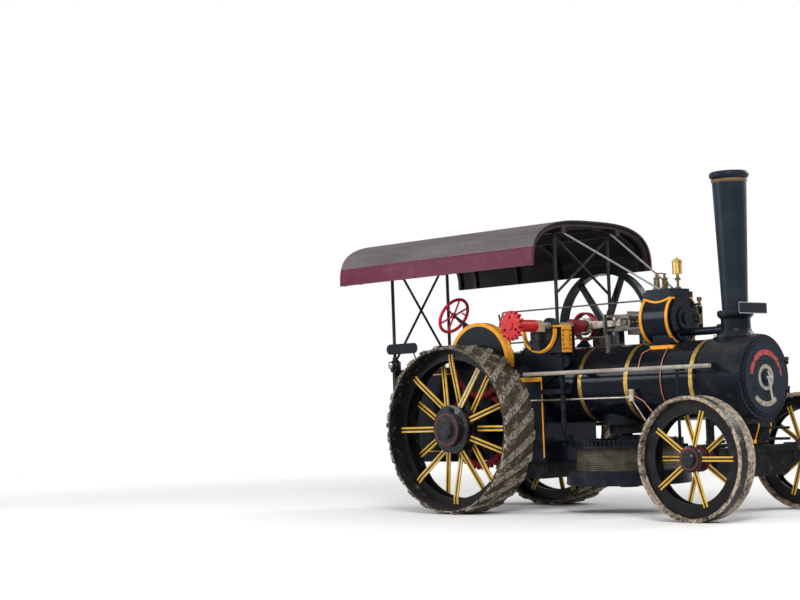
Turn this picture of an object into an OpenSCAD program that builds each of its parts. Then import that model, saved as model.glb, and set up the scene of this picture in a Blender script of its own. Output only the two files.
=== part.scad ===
/* [Rear wheels] */
// Radius of the rim without its strakes
rear_rim_r = 925; // [850:5:940]
// Thickness of the rim plate
rear_rim_t = 30; // [16:1:36]
// Width of the rim
rear_rim_w = 460; // [400:5:480]
// Distance between the middles of the two rear rims
rear_track = 1660; // [1640:5:1700]
// Height of a strake above the rim
strake_h = 25; // [12:1:30]
// Width of a strake
strake_w = 75; // [50:5:90]
// Number of strakes on a rim
strake_count = 24; // [16:1:26]
// Slant of a strake across the rim in degrees
strake_slant = 35; // [20:1:40]
// Number of spokes in a rear wheel
rear_spoke_count = 16; // [12:2:20]
// Width of a rear spoke
rear_spoke_w = 62; // [50:1:70]
// Thickness of a rear spoke
rear_spoke_t = 16; // [10:1:20]
// Depth of the T ring that a rear spoke is riveted to
rear_tee_depth = 115; // [90:5:140]
// Distance from the middle of the rim to each T ring's spoke face
rear_spoke_plane = 78; // [60:1:135]
// Radius of the rear hub flange
rear_flange_r = 270; // [230:5:300]
// Radius of the rear hub barrel
rear_hub_r = 150; // [130:5:170]
// Radius of the rear axle
rear_axle_r = 80; // [65:1:95]

/* [Front wheels] */
// Radius of a front wheel
front_rim_r = 617; // [560:1:640]
// Thickness of the front rim plate
front_rim_t = 32; // [20:1:38]
// Width of a front rim
front_rim_w = 240; // [200:5:260]
// Distance between the middles of the two front rims
front_track = 1970; // [1930:5:2020]
// Number of spokes in a front wheel
front_spoke_count = 10; // [8:2:14]
// Width of a front spoke
front_spoke_w = 50; // [40:1:60]
// Thickness of a front spoke
front_spoke_t = 12; // [8:1:16]
// Depth of the T ring in a front rim
front_tee_depth = 140; // [100:5:160]
// Distance from the middle of the rim to each plane of front spokes
front_spoke_plane = 60; // [45:1:70]
// Radius of the front hub flange
front_flange_r = 130; // [115:1:145]
// Radius of the front hub barrel
front_hub_r = 95; // [80:1:105]
// Radius of a front stub axle
stub_r = 38; // [30:1:45]

/* [Boiler] */
// Distance between the two axles
wheelbase = 3370; // [3330:5:3400]
// Height of the boiler's middle line
boiler_z = 1394; // [1380:1:1410]
// Radius of the clad barrel
barrel_r = 420; // [405:1:430]
// Distance from the rear axle to the back of the firebox
firebox_rear = 150; // [120:5:180]
// Length of the firebox
firebox_len = 800; // [760:5:840]
// Height of the firebox bottom
firebox_bottom = 560; // [520:5:600]
// Length of the clad barrel
barrel_len = 2070; // [2040:5:2090]
// Radius of the smokebox
smokebox_r = 440; // [434:1:455]
// Length of the smokebox
smokebox_len = 520; // [500:5:540]
// Thickness of the smokebox shell
smokebox_t = 16; // [10:1:24]
// Radius of the smokebox door
door_r = 392; // [370:1:410]
// Thickness of the smokebox door
door_t = 26; // [18:1:36]
// Thickness of a boiler band
band_t = 4; // [2:1:6]
// Width of a boiler band
band_w = 50; // [30:5:60]

/* [Chimney] */
// Distance from the smokebox front back to the chimney's middle
chimney_back = 310; // [280:5:330]
// Radius of the chimney tube at its foot
chimney_foot_r = 132; // [120:1:145]
// Radius of the chimney tube under its rim
chimney_top_r = 177; // [160:1:190]
// Wall of the chimney tube
chimney_wall = 12; // [8:1:20]
// Radius of the rolled rim
chimney_rim_r = 205; // [196:1:215]
// Height of the rolled rim
chimney_rim_h = 70; // [50:1:90]
// Height of the chimney's joint flange above the boiler's middle
chimney_joint = 671; // [640:1:700]
// Height of the chimney from its joint to its top
chimney_len = 1468; // [1300:1:1500]
// Radius of the joint flange
chimney_flange_r = 185; // [175:1:200]

/* [Plates] */
// Distance from the middle plane to the inner face of a hornplate
hornplate_in = 422; // [421:1:430]
// Thickness of a hornplate
hornplate_t = 16; // [12:1:22]
// Radius of the bearing recess in a hornplate
recess_r = 217; // [200:1:225]
// Thickness of the tender's plates
tender_t = 16; // [10:1:20]
// Distance from the rear axle to the back of the tender
tender_rear = 1460; // [1420:5:1480]
// Height of the tender's top edge
tender_top = 1650; // [1600:5:1700]
// Height of the man-stand floor
floor_z = 1060; // [1050:1:1100]
// Distance from the rear axle back to the bunker's bulkhead
bulkhead_back = 850; // [800:5:900]

/* [Motion] */
// Distance from the rear axle to the crankshaft
crank_x = 1080; // [1075:1:1090]
// Height of the crankshaft and the cylinder's middle line
crank_z = 2055; // [2045:1:2075]
// Radius of the crankshaft
crank_r = 45; // [38:1:50]
// Throw of the crank
crank_throw = 150; // [130:1:155]
// Distance between the connecting rod's two pins
rod_len = 600; // [580:5:620]
// Radius of the flywheel
flywheel_r = 660; // [600:2:664]
// Width of the flywheel's rim
flywheel_w = 106; // [90:1:107]
// Distance from the middle plane to the flywheel's near face
flywheel_y = 486; // [485:1:486]
// Number of flywheel arms
flywheel_arms = 6; // [5:1:8]
// Radius of the cylinder's lagging
lagging_r = 265; // [255:1:275]
// Length of the lagging
lagging_len = 310; // [290:5:330]
// Radius of a cylinder cover
cover_r = 240; // [220:1:250]
// Radius of the piston rod
piston_rod_r = 25; // [20:1:30]
// Number of teeth on the final gear
final_teeth = 42; // [38:1:46]
// Number of teeth on the final gear's pinion
pinion_teeth = 26; // [22:1:28]

/* [Winding drum] */
// Distance from the rear axle to the drum's middle
drum_x = 1750; // [1740:1:1760]
// Radius of the drum's lower flange
drum_r = 680; // [640:5:690]
// Height of the drum's lower edge
drum_z = 310; // [300:1:330]
// Height of the drum between its lower edge and the top of its gear
drum_h = 480; // [460:1:490]
// Radius of the drum's stud
stud_pin_r = 60; // [50:1:70]
// Radius of the winding rope
rope_r = 11; // [8:1:12]

/* [Canopy] */
// Distance from the rear axle to the front of the canopy
canopy_front = 1387; // [1370:1:1400]
// Distance from the rear axle to the back of the canopy
canopy_rear = 1708; // [1690:1:1730]
// Half the width of the canopy
canopy_half = 1040; // [1000:5:1060]
// Height of the canopy's lower edge
canopy_low = 2690; // [2680:1:2720]
// Rise of the canopy above its lower edge
canopy_rise = 522; // [480:1:540]
// Height of the valance band
valance_h = 200; // [160:5:240]
// Thickness of the canopy's shell
canopy_t = 24; // [16:1:30]
// Roundness of the canopy's shoulders
canopy_power = 3; // [2.6:0.1:3.4]
// Radius of a canopy post
post_r = 20; // [16:1:24]
// Distance from the rear axle to the front posts
post_front_x = 1210; // [1200:1:1220]
// Distance from the rear axle back to the rear posts
post_rear_back = 1388; // [1370:1:1400]

/* [Steering] */
// Distance from the middle plane to the steering rod
steer_y = 577; // [574:1:578]
// Height of the steering rod
steer_rod_z = 1530; // [1520:1:1540]
// Radius of the steering rod
steer_rod_r = 22; // [16:1:22]
// Radius of the hand wheel
hand_wheel_r = 230; // [190:1:240]
// Radius of the king pin
king_r = 40; // [34:1:46]
// Radius of the steering quadrant
quadrant_r = 430; // [400:1:440]
// Half the length of the front axle beam
beam_half = 700; // [660:5:720]
// Height of the beam's top above the front wheels' middle
beam_rise = 83; // [70:1:90]

/* [Couplings] */
// Radius of the rear drawbar's pin hole
draw_hole_r = 20; // [16:1:24]
// Radius of the front tow fork's pin hole
tow_hole_r = 22; // [16:1:26]

/* [Hidden] */
$fn = 72;
// Clearance of a shaft in its bore
run_fit = 0.05;
// Clearance between pieces that move past each other
gap = 6;
// Clearance of a seat that may turn
seat = 0.3;
// Length that a cutting shape runs past what it cuts
over = 10;
// Wheels and axles
rear_axle_z = rear_rim_r + strake_h;
front_axle_z = front_rim_r;
rear_hub_end = rear_rim_w / 2 + 30;
front_hub_end = front_rim_w / 2 + 25;
rear_hub_in = 200;
front_hub_in = 110;
cap_t = 20;
stub_shoulder = front_track / 2 - front_hub_in - gap;
beam_top = front_axle_z + beam_rise;
beam_w = 150;
plate_t = 25;
// Boiler
firebox_front = firebox_rear + firebox_len;
barrel_front = firebox_front + barrel_len;
smokebox_front = barrel_front + smokebox_len;
ring_in = 350;
door_back = smokebox_front + seat;
door_front = door_back + door_t;
door_hinge_y = door_r + 22;
door_pin_x = door_back + door_t / 2;
door_pin_r = 8;
door_hinge_z = [-150, 150];
fire_ring_r = 190;
fire_ring_t = 22;
fire_door_t = 20;
fire_door_z = boiler_z - 110;
fire_pin_r = 9;
fire_hinge_x = firebox_rear - fire_ring_t - fire_door_t / 2;
fire_hinge_y = -fire_ring_r - 20;
chimney_x = smokebox_front - chimney_back;
joint_z = boiler_z + chimney_joint;
joint_t = 25;
chimney_neck_r = 150;
chimney_top = joint_z + chimney_len;
// Plates
plate_out = hornplate_in + hornplate_t;
// Distance from the rear axle back to the hornplates' rear edge
hornplate_back = 300;
tender_half = plate_out + tender_t;
// Motion
rod_pin_x = crank_x + crank_throw + rod_len;
web_in = 45;
web_t = 40;
web_half = 62;
pin_r = 38;
bearing_t = 66;
bearing_mid = (hornplate_in + plate_out) / 2;
bearing_end = bearing_mid + bearing_t / 2;
guide_len = 395;
lagging_x = rod_pin_x + guide_len;
cyl_flange_t = 30;
cyl_rear = lagging_x - cyl_flange_t;
cyl_front = lagging_x + lagging_len + cyl_flange_t;
cyl_top = crank_z + 320;
cover_t = 26;
cover_in_r = 132;
cover_step = 44;
cover_rear_t = 22;
bar_in = 75;
bar_w = 30;
bar_t = 25;
bar_gap = 62;
bracket_x = 1600;
bracket_t = 20;
counter_x = 80;
counter_z = 1690;
counter_gap = norm([counter_x, counter_z - rear_axle_z]);
final_pitch = counter_gap * final_teeth / (final_teeth + pinion_teeth);
pinion_pitch = counter_gap - final_pitch;
mesh_angle = atan2(counter_z - rear_axle_z, counter_x);
gear_in = tender_half + gap;
gear_w = 40;
counter_gear_pitch = 400;
guard_gap = 60;
guard_r = counter_gear_pitch + guard_gap;
guard_out = 556;
guard_t = 8;
counter_r = 38;
counter_gear_teeth = 56;
eccentric_r = 100;
eccentric_throw = 32;
eccentric_y = [130, 180];
eccentric_w = 30;
strap_in = eccentric_r + eccentric_throw + gap;
strap_t = 22;
recess_z = crank_z - 55;
flywheel_rim_t = 55;
clutch_teeth = 16;
clutch_pitch = 146;
clutch_y = 1060;
clutch_w = 60;
crank_right = clutch_y + clutch_w / 2 + 15;
outer_bearing = 596;
outer_bearing_t = 100;
box_in = 590;
box_t = 16;
lip_t = 24;
lip_h = 34;
box_front = crank_x + 308;
box_low = recess_z - recess_r - 30;
crank_left = flywheel_y + flywheel_w + 40;
band_x = [crank_x + 350, cyl_rear - band_w - 80, barrel_front - band_w - 60];
// Winding drum
drum_top = drum_z + drum_h;
drum_gear_w = 60;
drum_gear_teeth = 72;
drum_gear_pitch = 590;
drum_core_r = 500;
skirt_h = 150;
shaft_teeth = 12;
shaft_pitch = drum_gear_pitch * shaft_teeth / drum_gear_teeth;
shaft_r = 28;
shaft_y = 524;
shaft_x = drum_x - sqrt(pow(drum_gear_pitch + shaft_pitch, 2) - pow(shaft_y, 2));
shaft_gear_z = drum_top + 8;
rope_depth = 55;
// Canopy
canopy_len = canopy_rear + canopy_front;
valance_top = canopy_low + valance_h;
rib_depth = 40;
rib_w = 45;
post_y = plate_out + post_r + seat;
rear_post_y = tender_half + post_r + seat;
post_foot_z = box_low + box_t;
beam_z = canopy_low - rib_depth + (canopy_rise - canopy_t)
    * pow(1 - pow(rear_post_y / (canopy_half - canopy_t), canopy_power), 1 / canopy_power);
// Steering
steer_rod_rear = 790;
steer_rod_front = 3300;
steer_down_x = wheelbase - quadrant_r - 50;
hand_x = -440;
hand_y = 396;
hand_z = 2265;
column_r = 14;
column_x = 460;
column_z = 1750;
hand_slope = atan2(hand_z - column_z, column_x - hand_x);
cross_z = beam_top + plate_t / 2;
perch_low = beam_top + plate_t + gap;
fork_z = [perch_low + 30, perch_low + 140];
fork_t = 25;
perch_front = max(smokebox_front - 14, wheelbase + 156);
perch_rear = wheelbase - 240;
perch_half = 120;
perch_foot_r = 150;
perch_foot_t = 40;
tow_x = perch_front + 234;
// Outline of the whole
x_front = wheelbase + front_rim_r;
x_mid = (x_front - canopy_rear) / 2;

function canopy_point(half, rise, a) =
    [half * sign(cos(a)) * pow(abs(cos(a)), 2 / canopy_power), rise * pow(sin(a), 2 / canopy_power)];

// Puts the origin on the ground under the middle of the engine
module place() {
    translate([-x_mid, 0, 0]) children();
}

// Both sides of the middle plane
module both() {
    children();
    mirror([0, 1, 0]) children();
}

// An outline in X and Z, as thick as the space from y0 to y1
module slab_y(y0, y1) {
    translate([0, y1, 0]) rotate([90, 0, 0]) linear_extrude(y1 - y0) children();
}

// An outline in Y and Z, as thick as the space from x0 to x1
module slab_x(x0, x1) {
    translate([x0, 0, 0]) rotate([90, 0, 90]) linear_extrude(x1 - x0) children();
}

// An outline in X and Y, as thick as the space from z0 to z1
module slab_z(z0, z1) {
    translate([0, 0, z0]) linear_extrude(z1 - z0) children();
}

module round_y(r, y0, y1, x, z) {
    slab_y(y0, y1) translate([x, z]) circle(r = r);
}

module round_x(r, x0, x1, y, z) {
    slab_x(x0, x1) translate([y, z]) circle(r = r);
}

module round_z(r, z0, z1, x, y) {
    slab_z(z0, z1) translate([x, y]) circle(r = r);
}

module block(low, high) {
    translate(low) cube(high - low);
}

// A round bar from point p to point q
module bar(p, q, r) {
    d = q - p;
    translate(p) rotate([0, acos(d[2] / norm(d)), atan2(d[1], d[0])]) cylinder(r = r, h = norm(d));
}

// The outline of a spur gear with a tooth on its X axis
module gear_outline(teeth, pitch) {
    size = 2 * pitch / teeth;
    step = 360 / teeth;
    corners = [[-0.29, -1.1], [-0.16, 0.9], [0.16, 0.9], [0.29, -1.1]];
    polygon([for (i = [0 : teeth - 1]) for (c = corners)
        (pitch + c[1] * size) * [cos((i + c[0]) * step), sin((i + c[0]) * step)]]);
}

// The outside of the barrel, its bands and the smokebox, to cut saddles with
module barrel_cut() {
    round_x(barrel_r, firebox_front - over, barrel_front, 0, boiler_z);
    round_x(smokebox_r, barrel_front, smokebox_front + over, 0, boiler_z);
    for (x = band_x) round_x(barrel_r + band_t, x, x + band_w, 0, boiler_z);
}

module boiler_barrel() {
    color("#15181c") place() difference() {
        round_x(barrel_r, firebox_front, barrel_front, 0, boiler_z);
        round_x(barrel_r - 60, firebox_front + 300, barrel_front + over, 0, boiler_z);
    }
}

module boiler_bands() {
    color("#b58a3c") place() for (x = band_x) difference() {
        round_x(barrel_r + band_t, x, x + band_w, 0, boiler_z);
        round_x(barrel_r, x - over, x + band_w + over, 0, boiler_z);
    }
}

module firebox() {
    color("#15181c") place() {
        slab_x(firebox_rear, firebox_front) {
            translate([0, boiler_z]) circle(r = hornplate_in);
            translate([-hornplate_in, firebox_bottom])
                square([2 * hornplate_in, boiler_z - firebox_bottom]);
        }
        difference() {
            round_x(fire_ring_r, firebox_rear - fire_ring_t, firebox_rear, 0, fire_door_z);
            round_x(fire_ring_r - 45, firebox_rear - fire_ring_t - over, firebox_rear, 0,
                fire_door_z);
        }
        for (z = [-1, 1]) hinge_lug(firebox_rear, fire_hinge_x - 12, z * 50);
        round_z(fire_pin_r, fire_door_z - 60, fire_door_z + 60, fire_hinge_x, fire_hinge_y);
    }
    module hinge_lug(x0, x1, z) {
        block([x1, fire_hinge_y - 14, fire_door_z + z - 10], [x0, fire_hinge_y + 14, fire_door_z + z + 10]);
    }
}

module fire_door() {
    back = firebox_rear - fire_ring_t - seat;
    color("#26282c") place() difference() {
        union() {
            round_x(fire_ring_r - 12, back - fire_door_t, back, 0, fire_door_z);
            block([back - fire_door_t, fire_hinge_y, fire_door_z - 35],
                [back - 6, -fire_ring_r + 40, fire_door_z + 35]);
            round_z(13, fire_door_z - 35, fire_door_z + 35, fire_hinge_x, fire_hinge_y);
            round_x(10, back - fire_door_t - 45, back - fire_door_t, fire_ring_r - 50, fire_door_z);
        }
        round_z(fire_pin_r + run_fit, fire_door_z - 60, fire_door_z + 60, fire_hinge_x, fire_hinge_y);
    }
}

module ash_pan() {
    pan_h = 190;
    pan_in = 60;
    color("#1c1d1f") place() slab_y(-hornplate_in + 30, hornplate_in - 30) polygon([
        [firebox_rear + 30, firebox_bottom],
        [firebox_rear + 30, firebox_bottom - pan_h + pan_in],
        [firebox_rear + 30 + pan_in, firebox_bottom - pan_h],
        [firebox_front - 30 - pan_in, firebox_bottom - pan_h],
        [firebox_front - 30, firebox_bottom - pan_h + pan_in],
        [firebox_front - 30, firebox_bottom]
    ]);
}

module smokebox() {
    color("#1d2025") place() {
        difference() {
            round_x(smokebox_r, barrel_front, smokebox_front, 0, boiler_z);
            round_x(smokebox_r - smokebox_t, barrel_front + smokebox_t, smokebox_front - smokebox_t,
                0, boiler_z);
            round_x(ring_in, smokebox_front - smokebox_t - over, smokebox_front + over, 0, boiler_z);
            round_z(chimney_foot_r - chimney_wall, boiler_z, joint_z, chimney_x, 0);
        }
        for (z = door_hinge_z) difference() {
            union() {
                block([smokebox_front - smokebox_t, door_r - 18, boiler_z + z - 20],
                    [door_pin_x, door_hinge_y + 12, boiler_z + z + 20]);
                round_z(12, boiler_z + z - 20, boiler_z + z + 20, door_pin_x, door_hinge_y);
            }
            round_z(door_pin_r + run_fit, boiler_z + z - 30, boiler_z + z + 30, door_pin_x,
                door_hinge_y);
        }
    }
}

module smokebox_door() {
    arm_h = 34;
    color("#15181c") place() {
        round_x(door_r, door_back, door_back + 12, 0, boiler_z);
        round_x(door_r - 26, door_back, door_front, 0, boiler_z);
        for (z = door_hinge_z) {
            block([door_pin_x - 5, -door_r * 0.55, boiler_z + z + 22],
                [door_front + 6, door_hinge_y, boiler_z + z + 22 + arm_h]);
            round_z(12, boiler_z + z + 22, boiler_z + z + 22 + arm_h, door_pin_x, door_hinge_y);
            round_z(door_pin_r, boiler_z + z - 20, boiler_z + z + 30, door_pin_x, door_hinge_y);
        }
        round_x(58, door_front, door_front + 14, 0, boiler_z);
        round_x(16, door_front + 14, door_front + 62, 0, boiler_z);
        bar([door_front + 30, 0, boiler_z], [door_front + 30, 60, boiler_z - 250], 11);
        bar([door_front + 50, 0, boiler_z], [door_front + 50, -35, boiler_z + 60], 9);
    }
}

module saddle_form() {
    foot_r = 235;
    foot_z = boiler_z + sqrt(pow(smokebox_r, 2) - pow(foot_r, 2));
    flare_z = boiler_z + smokebox_r - 8;
    translate([chimney_x, 0, 0]) rotate_extrude() polygon([
        [0, foot_z],
        [foot_r, foot_z],
        [foot_r, flare_z],
        for (a = [0 : 15 : 75]) [
            chimney_neck_r + (foot_r - chimney_neck_r) * (1 - sin(a)),
            flare_z + 110 * (1 - cos(a))
        ],
        [chimney_neck_r, joint_z - 60],
        [chimney_flange_r, joint_z - joint_t],
        [chimney_flange_r, joint_z],
        [0, joint_z]
    ]);
}

module chimney_saddle() {
    color("#1d2025") place() difference() {
        saddle_form();
        round_z(chimney_foot_r - chimney_wall, boiler_z, joint_z + over, chimney_x, 0);
        barrel_cut();
    }
}

module chimney() {
    rim_z = chimney_top - chimney_rim_h;
    color("#1d2025") place() translate([chimney_x, 0, 0]) rotate_extrude() polygon([
        [chimney_foot_r - chimney_wall, joint_z],
        [chimney_flange_r, joint_z],
        [chimney_flange_r, joint_z + joint_t],
        [chimney_foot_r, joint_z + joint_t + 12],
        [chimney_top_r, rim_z - 40],
        [chimney_top_r + 8, rim_z - 34],
        [chimney_top_r + 8, rim_z - 12],
        [chimney_top_r, rim_z - 6],
        [chimney_top_r + 6, rim_z],
        for (a = [-75 : 15 : 75]) [
            chimney_rim_r - 26 + 26 * cos(a),
            rim_z + chimney_rim_h / 2 + chimney_rim_h / 2 * sin(a)
        ],
        [chimney_top_r - 4, chimney_top],
        [chimney_top_r - chimney_wall, chimney_top - 20]
    ]);
}

module cylinder_block() {
    foot_z = boiler_z + barrel_r - 30;
    foot_back = 115;
    foot_half = 255;
    foot_low = foot_z - 50;
    chest_y = 215;
    chest_w = 175;
    gland_len = 60;
    color("#1b1e22") place() {
        difference() {
            union() {
                round_x(lagging_r, lagging_x, lagging_x + lagging_len, 0, crank_z);
                for (x = [cyl_rear, cyl_front - cyl_flange_t])
                    round_x(lagging_r + 16, x, x + cyl_flange_t, 0, crank_z);
                block([cyl_rear, -190, crank_z], [cyl_front, 190, cyl_top - 30]);
                block([cyl_rear + 20, -160, crank_z], [cyl_front - 20, 160, cyl_top]);
                slab_x(cyl_rear + foot_back, cyl_front) polygon([
                    [-240, foot_low], [-240, foot_z - 5], [-200, foot_z + 35],
                    [-200, crank_z - 60], [200, crank_z - 60], [200, foot_z + 35],
                    [240, foot_z - 5], [240, foot_low]
                ]);
                block([cyl_rear + foot_back, -foot_half, foot_low], [cyl_front + 40, foot_half,
                    foot_z - 12]);
            }
            barrel_cut();
        }
        round_x(cover_r, cyl_front, cyl_front + cover_t, 0, crank_z);
        round_x(cover_in_r, cyl_front, cyl_front + cover_step, 0, crank_z);
        round_x(62, cyl_front, cyl_front + 60, 0, crank_z);
        round_x(cover_r * 0.8, cyl_rear - cover_rear_t, cyl_rear, 0, crank_z);
        difference() {
            round_x(62, cyl_rear - gland_len, cyl_rear, 0, crank_z);
            round_x(piston_rod_r, cyl_rear - gland_len - over, cyl_rear - cover_rear_t, 0, crank_z);
        }
        block([lagging_x + 30, chest_y, crank_z - 120], [lagging_x + lagging_len - 30, chest_y + chest_w,
            crank_z + 130]);
        block([lagging_x + 15, chest_y + chest_w, crank_z - 135], [lagging_x + lagging_len - 15,
            chest_y + chest_w + 25, crank_z + 145]);
    }
}

module cylinder_fittings() {
    valve_back = 100;
    whistle_x = cyl_front - 45;
    valve_x = cyl_rear + valve_back;
    cup_x = cyl_front + 75;
    color("#b99245") place() {
        translate([whistle_x, 0, cyl_top]) rotate_extrude() polygon([
            [0, 0], [34, 0], [34, 14], [14, 22], [14, 86], [32, 92], [32, 110], [16, 118], [16, 150],
            [56, 156], [56, 166], [52, 172], [52, 278], [56, 284], [56, 296], [34, 314], [10, 320],
            [10, 334], [0, 334]
        ]);
        for (y = [-70, 70]) translate([valve_x, y, cyl_top]) rotate_extrude() polygon([
            [0, 0], [46, 0], [46, 16], [36, 24], [30, 110], [36, 116], [36, 130], [14, 140],
            [14, 172], [0, 172]
        ]);
        block([valve_x - 12, -90, cyl_top + 172], [valve_x + 12, 90, cyl_top + 184]);
        translate([valve_x + 95, -40, cyl_top]) rotate_extrude() polygon([
            [0, 0], [22, 0], [22, 10], [9, 14], [9, 40], [26, 48], [30, 80], [14, 100], [0, 104]
        ]);
    }
    color("#b99245") place() for (z = [-30, 150]) {
        round_x(13, cyl_front + cover_t, cup_x + 16, 200, crank_z + z);
        round_z(16, crank_z + z - 34, crank_z + z + 34, cup_x, 200);
        round_z(26, crank_z + z + 34, crank_z + z + 74, cup_x, 200);
    }
}

module exhaust_pipe() {
    pipe_r = 42;
    pipe_z = joint_z - 160;
    pipe_x = cyl_front + cover_t;
    color("#191b1e") place() difference() {
        union() {
            round_x(pipe_r, pipe_x, chimney_x, 0, pipe_z);
            round_x(pipe_r + 22, pipe_x, pipe_x + 18, 0, pipe_z - 12);
            round_x(pipe_r + 22, chimney_x - chimney_neck_r - 60, chimney_x, 0, pipe_z);
        }
        saddle_form();
        round_x(cover_in_r, cyl_front, cyl_front + cover_step, 0, crank_z);
    }
}

module slide_bars() {
    leg_z = boiler_z + barrel_r - 40;
    color("#8b8d90") place() both() for (z = [-1, 1]) {
        bar_z = crank_z + z * (bar_gap + bar_t / 2);
        block([bracket_x, bar_in, bar_z - bar_t / 2], [cyl_rear - cover_rear_t, bar_in + bar_w,
            bar_z + bar_t / 2]);
    }
    color("#1b1e22") place() difference() {
        both() {
            block([bracket_x - bracket_t, bar_in, leg_z], [bracket_x, bar_in + bar_w + 18,
                crank_z + bar_gap + bar_t + 15]);
            block([bracket_x - 90, bar_in + bar_w, leg_z], [bracket_x, bar_in + bar_w + 14,
                crank_z - 150]);
        }
        barrel_cut();
    }
    color("#1b1e22") place() difference() {
        block([bracket_x - 110, -bar_in - bar_w - 45, leg_z], [bracket_x + 40, bar_in + bar_w + 45,
            leg_z + 55]);
        barrel_cut();
    }
}

module crosshead() {
    cheek_in = 36;
    cheek_t = 20;
    slipper = bar_gap - seat;
    color("#a9abad") place() {
        both() {
            block([rod_pin_x - 70, cheek_in, crank_z - 48], [rod_pin_x + 72, cheek_in + cheek_t,
                crank_z + 48]);
            block([rod_pin_x - 95, cheek_in, crank_z - slipper], [rod_pin_x + 95, bar_in + bar_w,
                crank_z - slipper + 22]);
            block([rod_pin_x - 95, cheek_in, crank_z + slipper - 22], [rod_pin_x + 95,
                bar_in + bar_w, crank_z + slipper]);
            round_y(30, cheek_in + cheek_t, cheek_in + cheek_t + 14, rod_pin_x, crank_z);
        }
        block([rod_pin_x + 52, -cheek_in, crank_z - 48], [rod_pin_x + 72, cheek_in, crank_z + 48]);
        round_x(42, rod_pin_x + 72, rod_pin_x + 105, 0, crank_z);
        round_x(piston_rod_r, rod_pin_x + 105, cyl_rear - cover_rear_t, 0, crank_z);
    }
}

module valve_gear() {
    link_x = bracket_x + 130;
    link_y = 300;
    leg_y = 345;
    leg_z = boiler_z + 205;
    color("#9b9da0") place() {
        for (y = eccentric_y) difference() {
            union() {
                round_y(strap_in + strap_t, y, y + eccentric_w, crank_x, crank_z);
                slab_y(y, y + eccentric_w) polygon([
                    [crank_x, crank_z + 34], [link_x, crank_z + 20], [link_x, crank_z - 20],
                    [crank_x, crank_z - 34]
                ]);
            }
            round_y(strap_in, y - over, y + eccentric_w + over, crank_x, crank_z);
        }
        block([link_x - 16, eccentric_y[0], crank_z - 130], [link_x + 16, link_y + 14, crank_z + 130]);
        round_x(16, link_x, lagging_x + 30, link_y, crank_z);
        round_y(18, link_y - 10, leg_y, link_x, crank_z - 100);
    }
    color("#1b1e22") place() difference() {
        block([link_x - 30, leg_y, leg_z], [link_x + 30, leg_y + 24, crank_z - 70]);
        barrel_cut();
    }
}

// The outline of a hornplate in X and Z
module hornplate_outline() {
    difference() {
        union() {
            polygon([
                [-hornplate_back, floor_z - 130],
                [firebox_rear, firebox_bottom],
                [firebox_front, firebox_bottom],
                [firebox_front, boiler_z],
                [crank_x + 340, crank_z - 390],
                [crank_x + 340, crank_z - 20],
                [crank_x, crank_z - 20],
                [crank_x - recess_r - 10, crank_z - 110],
                [counter_x + guard_r + 20, counter_z + 40],
                [counter_x, counter_z + 110],
                [-hornplate_back, counter_z - 40]
            ]);
            translate([0, rear_axle_z]) circle(r = rear_axle_r + 90);
        }
        translate([crank_x, recess_z]) circle(r = recess_r);
        translate([crank_x - recess_r, recess_z]) square([2 * recess_r, 200]);
        translate([0, rear_axle_z]) circle(r = rear_axle_r);
        translate([counter_x, counter_z]) circle(r = counter_r);
    }
}

module hornplates() {
    color("#15181c") place() both() slab_y(hornplate_in, plate_out) hornplate_outline();
}

module crank_bearings() {
    inner_half = 92;
    outer_half = 64;
    color("#b9a98a") place() {
        both() bearing(bearing_end - bearing_t, bearing_end, inner_half);
        mirror([0, 1, 0]) bearing(outer_bearing, outer_bearing + outer_bearing_t, outer_half);
    }
    module bearing(y0, y1, half) {
        difference() {
            slab_y(y0, y1) {
                translate([crank_x, crank_z]) circle(r = half);
                intersection() {
                    translate([crank_x, recess_z]) circle(r = recess_r);
                    translate([crank_x - half, recess_z - recess_r]) square([2 * half, recess_r + 60]);
                }
            }
            round_y(crank_r + run_fit, y0 - over, y1 + over, crank_x, crank_z);
        }
    }
}

// The box that carries the outer bearing and holds the bevel gears
module horn_box() {
    color("#15181c") place() mirror([0, 1, 0]) difference() {
        union() {
            slab_y(box_in, box_in + box_t) difference() {
                polygon([
                    [crank_x - recess_r - 24, crank_z - 110], [crank_x - recess_r - 24, box_low + 90],
                    [crank_x - 80, box_low], [box_front, box_low], [box_front, crank_z - 5],
                    [crank_x, crank_z - 5]
                ]);
                translate([crank_x, recess_z]) circle(r = recess_r);
                translate([crank_x - recess_r, recess_z]) square([2 * recess_r, 200]);
            }
            slab_y(box_in, box_in + box_t + lip_h) translate([crank_x, recess_z]) lip_outline();
            block([box_front - box_t, plate_out, box_low], [box_front, box_in + box_t, crank_z - 5]);
            block([crank_x - 80, plate_out, box_low], [box_front, box_in + box_t, box_low + box_t]);
        }
        round_z(shaft_r, box_low - over, box_low + box_t + over, shaft_x, shaft_y);
    }
    module lip_outline() {
        edge = recess_r + lip_t;
        difference() {
            union() {
                circle(r = edge);
                translate([-edge, 0]) square([2 * edge, crank_z - recess_z - 5]);
            }
            circle(r = recess_r);
            translate([-recess_r, 0]) square([2 * recess_r, edge]);
            translate([-edge, crank_z - recess_z - 5]) square([2 * edge, edge]);
        }
    }
}

module gear_guard() {
    color("#15181c") place() mirror([0, 1, 0]) {
        slab_y(tender_half, guard_out) difference() {
            half_disc(guard_r);
            half_disc(guard_r - guard_t);
        }
        slab_y(guard_out - guard_t, guard_out) half_disc(guard_r);
    }
    module half_disc(r) {
        intersection() {
            translate([counter_x, counter_z]) circle(r = r);
            translate([counter_x - r, counter_z - 60]) square([2 * r, r + 60]);
        }
    }
}

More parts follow.
